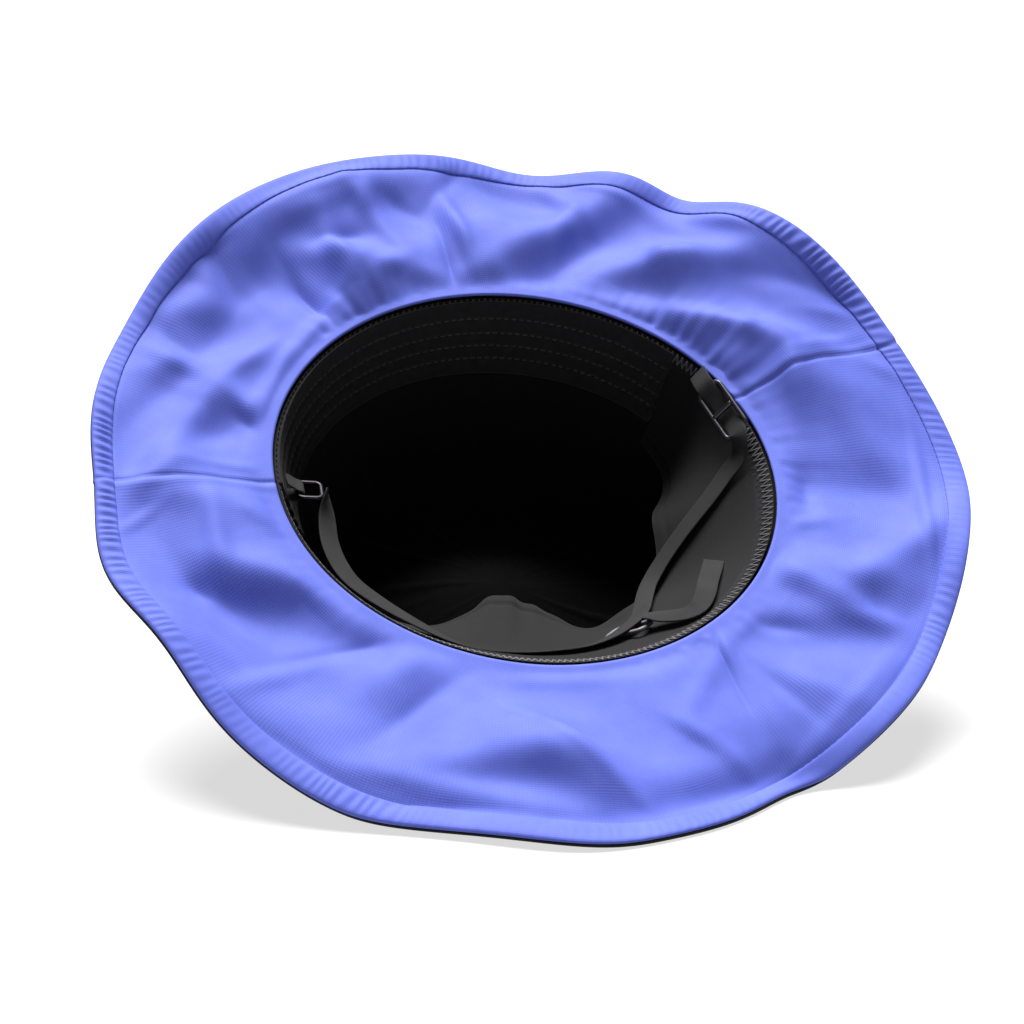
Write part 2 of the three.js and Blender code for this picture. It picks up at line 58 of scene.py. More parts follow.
camera_data = bpy.data.cameras.new("camera")
camera_data.sensor_width = 36
camera_data.lens = CAMERA_LENS
camera_data.shift_x, camera_data.shift_y = FRAME_SHIFT
camera = bpy.data.objects.new("camera", camera_data)
bpy.context.scene.collection.objects.link(camera)
azimuth, elevation = math.radians(CAMERA_AZIMUTH), math.radians(CAMERA_ELEVATION)
camera_back = Vector((
    math.sin(azimuth) * math.cos(elevation),
    -math.cos(azimuth) * math.cos(elevation),
    math.sin(elevation),
))
camera.location = OPENING_MIDDLE + camera_back * CAMERA_DISTANCE
camera.rotation_mode = "QUATERNION"
camera.rotation_quaternion = (-camera_back).to_track_quat("-Z", "Y")
bpy.context.scene.camera = camera

# ---------------------------------------------------------------------------
# Chin strap: one woven polyester tape, eight millimetres wide. It starts at
# the wire ring, hangs round the back band and climbs through slider and
# buckle to the rim at the right, where it is sewn in.
# ---------------------------------------------------------------------------
STRAP_WIDTH = 8
STRAP_CLOTH = 1.0
AXIS_LEAN = 51
OPENING_HEIGHT = (87.5 + 72) * math.cos(math.radians(AXIS_LEAN)) - 7
# x, y and z of the strap's middle, how far out on the hat's axis lies the point that it faces,
# and how far the weave through slider and buckle carries it out of its face
STRAP_ROUTE = np.array([
    (-74.4, 9.8, 87.4, -9, 0), (-74.8, 7.6, 83, 30, 0), (-75.2, 3, 77.6, 90, 0),
    (-75.2, -5, 71.4, 130, 0), (-72.8, -14, 65.2, 150, 0), (-68, -22, 59.8, 130, 0),
    (-58, -31, 53.8, 100, 0), (-46.5, -39, 48.2, 70, 0), (-36, -44.8, 43.5, 48, 0),
    (-25.7, -49.1, 40.6, 34, 0), (-13.4, -51, 39.1, 26, 0), (0, -50.4, 38.7, 26, 0),
    (13.3, -47.2, 38.6, 26, 0), (24, -41.5, 39.8, 30, 0), (32.5, -34, 41.6, 34, 0),
    (38.8, -25, 42.6, 36, 0), (43, -13, 43.6, 36, 0), (46.6, -3.5, 46.2, 36, 0),
    (51.2, 2.4, 50.8, 36, 0), (57.2, 5.6, 58, 36, 0), (64.6, 6.6, 67.6, 40, 0),
    (73.2, 7.4, 78, 48, 0), (80, 8.4, 87, 58, 0), (84.6, 7.4, 94.4, 68, 0),
    (86.2, 9.2, 101.6, 75, 2.9), (83.1, 15.3, 106.7, 75, 0), (80, 21.5, 111.9, 75, 0),
    (76.9, 27.6, 117, 75, 2.6), (73.8, 33, 121.4, 75, 0),
])
BUCKLE_ROW = 25.5
SLIDER_ROW = 14


def place(across, up, out):
    """Point of the row frame from its place across the opening, up it and out along the axis."""
    lean = math.radians(AXIS_LEAN)
    return np.stack([
        across + 0 * up,
        up * math.sin(lean) - out * math.cos(lean),
        OPENING_HEIGHT + up * math.cos(lean) + out * math.sin(lean),
    ], axis=-1)


def through(rows, at):
    """Values between the rows of a table: the Catmull-Rom cubic through the rows either side."""
    padded = np.vstack([2 * rows[0] - rows[1], rows, 2 * rows[-1] - rows[-2]])
    k = np.clip(np.floor(at).astype(int), 0, len(rows) - 2)
    t = (at - k)[:, None]
    a, b, c, d = padded[k], padded[k + 1], padded[k + 2], padded[k + 3]
    return 0.5 * (2 * b + (c - a) * t + (2 * a - 5 * b + 4 * c - d) * t ** 2 + (3 * b - a - 3 * c + d) * t ** 3)


def unit(vectors):
    """Vectors divided by their own lengths."""
    return vectors / np.maximum(np.linalg.norm(vectors, axis=-1, keepdims=True), 1e-12)


def stations(route, at):
    """Middle, along, side and face of a flat strap at row numbers of its route: along is the
    route's direction, side is along x the way to the axis, and face is side x along."""
    here = through(route, at)
    ahead = through(route, np.minimum(at + 0.05, len(route) - 1))
    behind = through(route, np.maximum(at - 0.05, 0))
    along = unit((ahead - behind)[:, :3])
    axis_point = place(0 * here[:, 3], 0 * here[:, 3], here[:, 3])
    side = unit(np.cross(along, axis_point - here[:, :3]))
    face = np.cross(side, along)
    middle = here[:, :3] + face * here[:, 4:5]
    return middle, along, side, face


def closed_loft(name, sections, ring, smooth=True, lengths=None, girths=None):
    """A closed surface through cross-section loops, sections[k, j] being point j of loop k, in mm.
    A ring of sections joins its last loop to its first; otherwise each end is capped by its own
    loop. UVs are the lengths run along the sections and round the loop, in metres."""
    count, points = sections.shape[:2]
    spans = count if ring else count - 1
    k, j = np.meshgrid(np.arange(spans), np.arange(points), indexing="ij")
    k2, j2 = (k + 1) % count, (j + 1) % points
    quads = np.stack([k * points + j, k2 * points + j, k2 * points + j2, k * points + j2], axis=-1)
    faces = quads.reshape(-1, 4).tolist()
    if not ring:
        faces += [list(range(points)), list(range(count * points - 1, (count - 1) * points - 1, -1))]
    corners = (sections - sections.mean(axis=(0, 1))).reshape(-1, 3)[quads.reshape(-1, 4)]
    inside_out = np.einsum("ij,ij->", np.cross(corners[:, 0], corners[:, 1]), corners[:, 2]) + np.einsum(
        "ij,ij->", np.cross(corners[:, 0], corners[:, 2]), corners[:, 3]) < 0
    if inside_out:
        print("flipped", name)
        quads = quads[..., ::-1]
    mesh = bpy.data.meshes.new(name)
    mesh.from_pydata((sections.reshape(-1, 3) * 0.001).tolist(), [], faces)
    if lengths is None:
        steps = np.linalg.norm(np.diff(sections[:, 0], axis=0), axis=-1)
        lengths = np.concatenate([[0], np.cumsum(steps)])
        lengths = np.append(lengths, lengths[-1] + np.linalg.norm(sections[0, 0] - sections[-1, 0]))
    if girths is None:
        steps = np.linalg.norm(np.diff(sections[0], axis=0), axis=-1)
        girths = np.concatenate([[0], np.cumsum(steps)])
        girths = np.append(girths, girths[-1] + np.linalg.norm(sections[0, 0] - sections[0, -1]))
    u = np.stack([lengths[k], lengths[k + 1], lengths[k + 1], lengths[k]], axis=-1)
    v = np.stack([girths[j], girths[j], girths[j + 1], girths[j + 1]], axis=-1)
    uv = np.zeros((len(mesh.loops), 2))
    body = np.stack([u, v], axis=-1).reshape(-1, 2) * 0.001
    uv[:len(body)] = body
    layer = mesh.uv_layers.new(name="cloth")
    layer.data.foreach_set("uv", uv.ravel())
    mesh.polygons.foreach_set("use_smooth", np.full(len(mesh.polygons), smooth))
    mesh.update()
    piece = bpy.data.objects.new(name, mesh)
    bpy.context.scene.collection.objects.link(piece)
    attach(piece, "root")
    return piece


# Cross-section of a woven tape: across and out of its face, going round, with rounded selvedges
TAPE_ROUND = np.linspace(0, 2 * np.pi, 28, endpoint=False)
TAPE_RIB = 1.1


def tape_sections(middle, side, face, width, thickness, rib=TAPE_RIB):
    """Loops of a woven tape: a flat oval of power 1/4, whose face rises and falls by a fortieth of
    a millimetre over each rib across it."""
    across = np.sign(np.cos(TAPE_ROUND)) * np.abs(np.cos(TAPE_ROUND)) ** 0.6 * width / 2
    out = np.sign(np.sin(TAPE_ROUND)) * np.abs(np.sin(TAPE_ROUND)) ** 0.4 * thickness / 2
    steps = np.linalg.norm(np.diff(middle, axis=0), axis=-1)
    run = np.concatenate([[0], np.cumsum(steps)])
    swell = 1 + 0.09 * np.cos(2 * np.pi * run / rib)
    return (middle[:, None] + side[:, None] * across[None, :, None]
            + face[:, None] * (out[None] * swell[:, None])[..., None])


def linear(hex_colour):
    """A colour's linear values from its sRGB hex code."""
    values = [int(hex_colour[k:k + 2], 16) / 255 for k in (1, 3, 5)]
    return [v / 12.92 if v <= 0.04045 else ((v + 0.055) / 1.055) ** 2.4 for v in values] + [1]


def add(tree, kind, settings=None, **links):
    """A node of a material with its settings and what is linked to its sockets."""
    node = tree.nodes.new(kind)
    for name, value in (settings or {}).items():
        if name in node.inputs.keys() or isinstance(name, int):
            node.inputs[name].default_value = value
        else:
            setattr(node, name, value)
    for name, source in links.items():
        socket = node.inputs[int(name[1:])] if name[1:].isdigit() else node.inputs[name.replace("_", " ")]
        tree.links.new(source, socket)
    return node


def new_material(name):
    """An empty material with its shader linked to the output; returns material, tree and shader."""
    material = bpy.data.materials.new(name)
    material.use_nodes = True
    tree = material.node_tree
    tree.nodes.clear()
    shader = tree.nodes.new("ShaderNodeBsdfPrincipled")
    output = tree.nodes.new("ShaderNodeOutputMaterial")
    tree.links.new(shader.outputs["BSDF"], output.inputs["Surface"])
    return material, tree, shader


# Woven polyester tape, dyed black and a little faded: fine ribs across it, dull with a soft sheen
def woven_tape(name, dark, light, thread=0.55):
    material, tree, shader = new_material(name)
    shader.inputs["Roughness"].default_value = 0.72
    shader.inputs["Sheen Weight"].default_value = 0.04
    shader.inputs["Sheen Roughness"].default_value = 0.4
    shader.inputs["Specular IOR Level"].default_value = 0.25
    place_on = add(tree, "ShaderNodeTexCoord")
    split = add(tree, "ShaderNodeSeparateXYZ", Vector=place_on.outputs["UV"])
    # one wave is 2 pi, so a thread of t millimetres turns 2 pi * 1000 / t radians a metre
    turns = 2 * math.pi * 1000 / thread
    warp = add(tree, "ShaderNodeMath", {"operation": "MULTIPLY", 1: turns}, i0=split.outputs["Y"])
    weft = add(tree, "ShaderNodeMath", {"operation": "MULTIPLY", 1: turns}, i0=split.outputs["X"])
    warp_wave = add(tree, "ShaderNodeMath", {"operation": "SINE"}, i0=warp.outputs[0])
    weft_wave = add(tree, "ShaderNodeMath", {"operation": "SINE"}, i0=weft.outputs[0])
    woven = add(tree, "ShaderNodeMath", {"operation": "MULTIPLY"}, i0=warp_wave.outputs[0], i1=weft_wave.outputs[0])
    fade = add(tree, "ShaderNodeTexNoise", {"Scale": 120.0, "Detail": 3.0}, Vector=place_on.outputs["Object"])
    mixed = add(tree, "ShaderNodeMath", {"operation": "MULTIPLY_ADD", 1: 0.25}, i0=woven.outputs[0], i2=fade.outputs["Fac"])
    colours = add(tree, "ShaderNodeValToRGB", Fac=mixed.outputs[0])
    colours.color_ramp.elements[0].position, colours.color_ramp.elements[1].position = 0.25, 0.75
    colours.color_ramp.elements[0].color = linear(dark)
    colours.color_ramp.elements[1].color = linear(light)
    bump = add(tree, "ShaderNodeBump", {"Strength": 0.5, "Distance": 0.0002}, Height=woven.outputs[0])
    tree.links.new(colours.outputs["Color"], shader.inputs["Base Color"])
    tree.links.new(bump.outputs["Normal"], shader.inputs["Normal"])
    return material


tape_black = woven_tape("black polyester tape, woven", "#0f0d0f", "#1a181a")
STRAP_STEPS = 560
strap_at = np.linspace(0, len(STRAP_ROUTE) - 1, STRAP_STEPS + 1)
strap_middle, strap_along, strap_side, strap_face = stations(STRAP_ROUTE, strap_at)
chin_strap = closed_loft(
    "chin_strap_tape",
    tape_sections(strap_middle, strap_side, strap_face, STRAP_WIDTH, STRAP_CLOTH),
    ring=False,
)
chin_strap.data.materials.append(tape_black)
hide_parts("chin_strap")

# Free end of the strap: the same tape, doubled back behind the slider, cut square and heat sealed.
TAIL_ROUTE = np.array([
    (37.5, -37.2, 46.2, 30, 0), (41.2, -38.6, 46.4, 40, 0), (44.8, -40.8, 46.8, 60, 0), (48.6, -43.6, 47.8, 90, 0),
    (52.6, -45.1, 49, 130, 0), (56.8, -44.6, 51, 180, 0), (60.4, -39.6, 53.6, 230, 0), (63.6, -31.2, 56.2, 290, 0),
    (66.8, -23.6, 58.4, 340, 0), (69, -18, 60, 380, 0),
])
tail_at = np.linspace(0, len(TAIL_ROUTE) - 1, 120)
tail_middle, tail_along, tail_side, tail_face = stations(TAIL_ROUTE, tail_at)
strap_tail = closed_loft(
    "strap_tail_tape",
    tape_sections(tail_middle, tail_side, tail_face, STRAP_WIDTH, STRAP_CLOTH),
    ring=False,
)
strap_tail.data.materials.append(tape_black)
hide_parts("strap_tail")


# ---------------------------------------------------------------------------
# Hardware: a buckle frame and a ring bent from dark nickel wire, and a slider
# moulded in grey nylon. Rounded bars run round one or two windows.
# ---------------------------------------------------------------------------
def rounded_frame(length, width, corner, steps=14):
    """Closed line round a rectangle with quarter-circle corners, middle at the origin."""
    turns = np.linspace(0, np.pi / 2, steps)
    parts = []
    for x, y, start in ((1, -1, -90), (1, 1, 0), (-1, 1, 90), (-1, -1, 180)):
        angle = turns + math.radians(start)
        parts.append(np.stack([
            x * (length / 2 - corner) + corner * np.cos(angle),
            y * (width / 2 - corner) + corner * np.sin(angle),
        ], axis=-1))
    return np.concatenate(parts)


def bar_loops(line, bar, thick, ring, power=0.75, sides=16):
    """Oval loops across a flat line: bar wide in its plane and thick across it."""
    turn = np.linspace(0, 2 * np.pi, sides, endpoint=False)
    after, before = np.roll(line, -1, axis=0), np.roll(line, 1, axis=0)
    if not ring:
        after[-1], before[0] = line[-1], line[0]
    along = unit(after - before)
    outwards = np.stack([along[:, 1], -along[:, 0]], axis=-1)
    wide = np.sign(np.cos(turn)) * np.abs(np.cos(turn)) ** power * bar / 2
    high = np.sign(np.sin(turn)) * np.abs(np.sin(turn)) ** power * thick / 2
    flat = line[:, None] + outwards[:, None] * wide[None, :, None]
    return np.concatenate([flat, np.broadcast_to(high[None, :, None], flat.shape[:2] + (1,))], axis=-1)


def laid(loops, middle, lengthwise, widthwise):
    """Loops turned so that their length and width follow two directions, about a middle."""
    x = unit(np.asarray(lengthwise, float))
    z = unit(np.cross(x, widthwise))
    return middle + loops[..., 0:1] * x + loops[..., 1:2] * np.cross(z, x) + loops[..., 2:3] * z


# Dark nickel-plated steel wire: grey mirror softened by fine scratches
wire_metal, tree, shader = new_material("dark nickel-plated wire, drawn")
shader.inputs["Metallic"].default_value = 1.0
shader.inputs["Base Color"].default_value = linear("#464449")
spot = add(tree, "ShaderNodeTexCoord")
grain = add(tree, "ShaderNodeTexNoise", {"Scale": 900.0, "Detail": 4.0}, Vector=spot.outputs["Object"])
dull = add(tree, "ShaderNodeMapRange", {"To Min": 0.28, "To Max": 0.5}, Value=grain.outputs["Fac"])
tree.links.new(dull.outputs["Result"], shader.inputs["Roughness"])
scratch = add(tree, "ShaderNodeBump", {"Strength": 0.12, "Distance": 0.0001}, Height=grain.outputs["Fac"])
tree.links.new(scratch.outputs["Normal"], shader.inputs["Normal"])

# Blackened steel wire: the same wire under a thin dark oxide, so only its edges catch the light
wire_black = wire_metal.copy()
wire_black.name = "blackened steel wire, drawn"
wire_black.node_tree.nodes["Principled BSDF"].inputs["Base Color"].default_value = linear("#29272b")

# Grey nylon, injection moulded: satin, with the fine spark-eroded grain of the mould
nylon_grey, tree, shader = new_material("grey nylon, moulded")
shader.inputs["Roughness"].default_value = 0.42
shader.inputs["IOR"].default_value = 1.53
spot = add(tree, "ShaderNodeTexCoord")
grain = add(tree, "ShaderNodeTexNoise", {"Scale": 2500.0, "Detail": 2.0}, Vector=spot.outputs["Object"])
tint = add(tree, "ShaderNodeValToRGB", Fac=grain.outputs["Fac"])
tint.color_ramp.elements[0].color = linear("#5a565c")
tint.color_ramp.elements[1].color = linear("#6a666c")
tree.links.new(tint.outputs["Color"], shader.inputs["Base Color"])
spark = add(tree, "ShaderNodeBump", {"Strength": 0.2, "Distance": 0.00005}, Height=grain.outputs["Fac"])
tree.links.new(spark.outputs["Normal"], shader.inputs["Normal"])


def joined(name, parts, material, replaced):
    """Several closed pieces made one object that stands for a CAD node."""
    for part in parts:
        part.data.materials.append(material)
    with bpy.context.temp_override(
        active_object=parts[0], object=parts[0],
        selected_objects=parts, selected_editable_objects=parts,
    ):
        if len(parts) > 1:
            bpy.ops.object.join()
    piece = parts[0]
    piece.name = name
    piece.data.name = name
    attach(piece, "root")
    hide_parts(*replaced)
    return piece


def frame_piece(name, length, width, bar, thick, crossbars, where, material, replaced, power=0.75):
    """A frame of rounded bars with crossbars over its width; where is its middle and directions."""
    line = rounded_frame(length - bar, width - bar, 1.4 * bar)
    parts = [closed_loft(name, laid(bar_loops(line, bar, thick, True, power), *where), ring=True)]
    for k, across in enumerate(crossbars):
        cross = np.stack([np.full(9, across), np.linspace(-1, 1, 9) * (width / 2 - bar * 0.6)], axis=-1)
        parts.append(closed_loft(
            "%s_bar_%d" % (name, k), laid(bar_loops(cross, bar, thick * 0.95, False, power), *where), ring=False))
    return joined(name, parts, material, [replaced])


def beside_strap(row, away):
    """Middle, along, side and face of the strap's flat route at a row, moved out of its face."""
    plain = STRAP_ROUTE.copy()
    plain[:, 4] = 0
    middle, along, side, face = (each[0] for each in stations(plain, np.array([float(row)])))
    return middle + face * away, along, side, face


middle, along, side, face = beside_strap(BUCKLE_ROW, 1.7)
strap_buckle = frame_piece("strap_buckle_frame", 25, 12.5, 1.9, 1.8, [0.0], (middle, along, side),
                           wire_metal, "strap_buckle")
middle, along, side, face = beside_strap(SLIDER_ROW, -1.6)
strap_slider = frame_piece("strap_slider_frame", 19, 11, 2.0, 1.6, [0.0], (middle, side, along),
                           nylon_grey, "strap_slider", power=0.5)


def opening_radius(angle):
    """Radius of the head opening: an oval of half axes 98 and 87.5, its long one at 160 degrees."""
    turned = np.radians(angle - 160)
    return 98 * 87.5 / np.hypot(87.5 * np.cos(turned), 98 * np.sin(turned))


RING_ANGLE = 177.2
RING_ALONG = unit(np.array([1, 0, -0.1]))
RING_ACROSS = unit(np.array([0, 0.95, 0.3]))
RING_UP = np.cross(RING_ALONG, RING_ACROSS)
ring_radius = opening_radius(RING_ANGLE) - 15.8
ring_middle = place(
    ring_radius * math.cos(math.radians(RING_ANGLE)), np.array(ring_radius * math.sin(math.radians(RING_ANGLE))), -11)
strap_ring = frame_piece("strap_ring_wire", 11, 12.4, 1.8, 1.8, [], (ring_middle, RING_ALONG, RING_ACROSS),
                         wire_black, "strap_ring")

# Left tab: the tape folded round the ring's left bar, both ends sewn in under the rim.
TAB_LOOP = np.array([
    (-4.4, 4.6), (-3.2, 3.9), (-1.8, 3), (-0.4, 2.2), (1.5, 1.5), (2.15, 0), (1.5, -1.5), (0, -2.15), (-2, -2.25),
    (-3.8, -2.3),
])
tab_at = np.linspace(0, len(TAB_LOOP) - 1, 64)
tab_flat = through(TAB_LOOP, tab_at)
tab_bar = ring_middle + RING_ALONG * (1.8 - 11) / 2
tab_middle = tab_bar + tab_flat[:, :1] * RING_ALONG + tab_flat[:, 1:] * RING_UP
tab_along = unit(np.gradient(tab_middle, axis=0))
tab_side = np.broadcast_to(RING_ACROSS, tab_middle.shape)
tab_left = closed_loft(
    "tab_left_tape",
    tape_sections(tab_middle, tab_side, np.cross(tab_side, tab_along), STRAP_WIDTH, STRAP_CLOTH),
    ring=False,
)
tab_left.data.materials.append(tape_black)
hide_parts("tab_left")


# ---------------------------------------------------------------------------
# Brim, under side: thin periwinkle blue nylon, cut as a flat ring in a front
# and a back piece joined at two side seams, and eased on to the rim, so that
# it gathers there and falls in soft folds. Its edge is turned into a hem.
# ---------------------------------------------------------------------------
BRIM_WIDTH = 72
BRIM_START = 0.9
HEM_START = 1 - 9 / 72
# place and spread in degrees, lift and drawing-in of the edge as shares of the brim's width
BRIM_WAVES = [
    (24, 16, 0.03, 0), (42, 14, 0.2, -0.02), (58, 7, -0.12, 0), (67, 9, 0.07, 0),
    (82, 11, -0.14, 0), (100, 15, 0.04, 0), (120, 16, 0.13, -0.01), (142, 16, 0.06, 0.01),
    (160, 14, -0.06, 0.045), (182, 15, 0.11, 0.06), (204, 14, 0.15, 0.04), (224, 15, 0.04, -0.01),
    (246, 16, -0.03, 0), (266, 15, 0.14, -0.01), (290, 16, -0.02, 0), (310, 16, 0.06, 0),
    (334, 18, 0, 0.015),
]
# place, spread, middle and reach across the brim as shares of its width, height likewise
BRIM_FOLDS = [
    (128, 7, 0.3, 0.3, -0.05), (98, 9, 0.55, 0.3, -0.04), (62, 8, 0.5, 0.35, -0.05), (30, 8, 0.5, 0.3, 0.03),
    (350, 9, 0.6, 0.3, -0.05), (322, 8, 0.4, 0.3, 0.04), (212, 9, 0.4, 0.3, -0.05), (176, 9, 0.7, 0.3, -0.04),
]
#FT1
# Further waves of the edge where it hangs free: place, lift and drawing-in
EDGE_SPREAD = 11
EDGE_SHIFTS = [
    (0, -0.079, -0.042), (15, -0.024, 0.002), (30, -0.004, -0.007), (45, 0.038, 0.033),
    (60, -0.000, 0.002), (75, -0.013, 0.006), (90, 0.001, -0.002), (105, -0.009, 0.006),
    (120, -0.025, 0.004), (135, 0.068, 0.023), (150, -0.002, 0.033), (165, 0.109, 0.018),
    (180, -0.008, 0.049), (195, -0.021, -0.032), (210, 0.053, 0.021), (225, 0.021, -0.007),
    (240, 0.035, -0.042), (255, 0.061, -0.014), (270, 0.122, -0.146), (285, 0.058, -0.111),
    (300, -0.133, 0.046), (315, 0.041, -0.001), (330, -0.034, 0.023), (345, 0.092, 0.016),
]
# Folds of the cloth: middle across and up the flat pattern in mm, turn from across in degrees,
# half length, half width and height in mm, the height below nothing for a valley
CLOTH_FOLDS = [
    (111, 38, 147, 34, 17.0, 3.3), (113, 42, 150, 31, 13.2, 3.4), (125, 50, 22, 15, 3.2, 1.1),
    (134, 76, 159, 40, 5.4, -1.6), (132, 79, 146, 46, 7.6, -1.7), (88, 61, 160, 46, 6.6, 3.4),
    (99, 80, 112, 24, 10.8, -2.3), (104, 112, 154, 41, 3.8, 1.7), (74, 92, 103, 46, 11.0, 1.8),
    (70, 96, 5, 39, 7.5, 2.8), (69, 96, 179, 25, 10.3, 2.8), (69, 96, 175, 23, 10.5, 2.8),
    (31, 101, 41, 46, 9.9, -3.9), (21, 115, 34, 37, 7.6, 3.1), (9, 142, 152, 26, 7.1, -2.2),
    (4, 120, 148, 22, 14.8, 2.7), (-12, 121, 115, 36, 5.7, 1.7), (-20, 110, 17, 46, 12.8, 2.6),
    (-49, 145, 8, 30, 6.3, 1.1), (-53, 139, 121, 46, 4.2, 1.7), (-55, 142, 22, 46, 10.3, 1.8),
    (-60, 140, 22, 46, 10.4, 1.9), (-69, 139, 27, 46, 4.9, 1.4), (-52, 103, 164, 26, 5.9, 2.4),
    (-69, 127, 170, 30, 6.5, 0.8), (-54, 98, 135, 15, 6.9, 2.5), (-55, 86, 118, 27, 14.1, 2.9),
    (-107, 107, 147, 46, 8.0, -1.4), (-90, 88, 43, 46, 16.5, -1.5), (-113, 107, 127, 42, 5.2, -0.9),
    (-97, 91, 86, 38, 17.0, -1.2), (-100, 91, 54, 46, 7.7, -1.3), (-121, 102, 55, 17, 6.9, -1.2),
    (-126, 97, 49, 29, 5.4, -1.2),  (-127, 96, 54, 44, 6.4, -1.2),
    (-81, 59, 56, 34, 3.8, 2.0), 
    (-125, 84, 178, 32, 7.2, 1.4), (-121, 57, 3, 46, 7.5, 1.6),
    (-104, 38, 141, 46, 5.4, 1.9), (-141, 38, 41, 46, 8.2, -1.6), (-124, 29, 52, 46, 6.8, 2.1),
    (-109, 24, 7, 28, 9.6, -2.1), (-133, 6, 45, 14, 10.9, 2.0), (-144, -4, 168, 46, 7.1, 1.3),
    (-118, -12, 130, 46, 17.0, 3.3), (-125, -48, 132, 46, 9.7, -2.5), (-116, -55, 164, 30, 9.0, -2.2),
    (-91, -46, 161, 34, 7.5, 3.2), (-72, -72, 171, 17, 7.5, -2.0), (-101, -102, 164, 37, 7.9, 1.2),
    (-54, -83, 40, 22, 8.8, 2.2), (-70, -123, 154, 46, 5.8, 1.0), (-57, -131, 160, 38, 4.1, 1.1),
    (-36, -145, 167, 46, 3.3, -1.8), (-26, -121, 3, 46, 11.4, 1.8), (-21, -127, 175, 46, 7.2, 2.1),
    (-17, -118, 142, 29, 11.0, 1.6), (-17, -121, 157, 28, 11.5, 1.6), (-10, -125, 150, 28, 10.2, 1.3),
    (-7, -122, 131, 33, 7.7, 1.3), (-7, -132, 160, 28, 6.9, 0.9), (-3, -128, 140, 18, 8.5, 1.0),
    (-2, -125, 136, 29, 3.2, 1.2), (2, -133, 134, 16, 7.1, 0.8), 
    (26, -150, 6, 46, 7.5, -2), (44, -133, 8, 41, 6.7, 1.4), (44, -107, 103, 36, 17.0, 1.3),
    (47, -113, 143, 46, 16.3, 1.9), (66, -118, 21, 46, 12.5, 1.2), (73, -122, 98, 15, 11.8, 0.9),
    (99, -116, 44, 46, 4.3, 1.2), (99, -83, 168, 28, 10.8, -3.2), (97, -58, 141, 46, 5.6, 2.1),
    (109, -54, 165, 28, 8.9, 3.1), (146, -65, 63, 46, 8.4, -2.2), (142, -43, 32, 41, 8.0, 2.7),
    (150, -23, 86, 41, 2.3, 1.3), (112, -12, 172, 46, 11.5, -2.3), (141, -3, 124, 46, 9.1, 1.8),
]
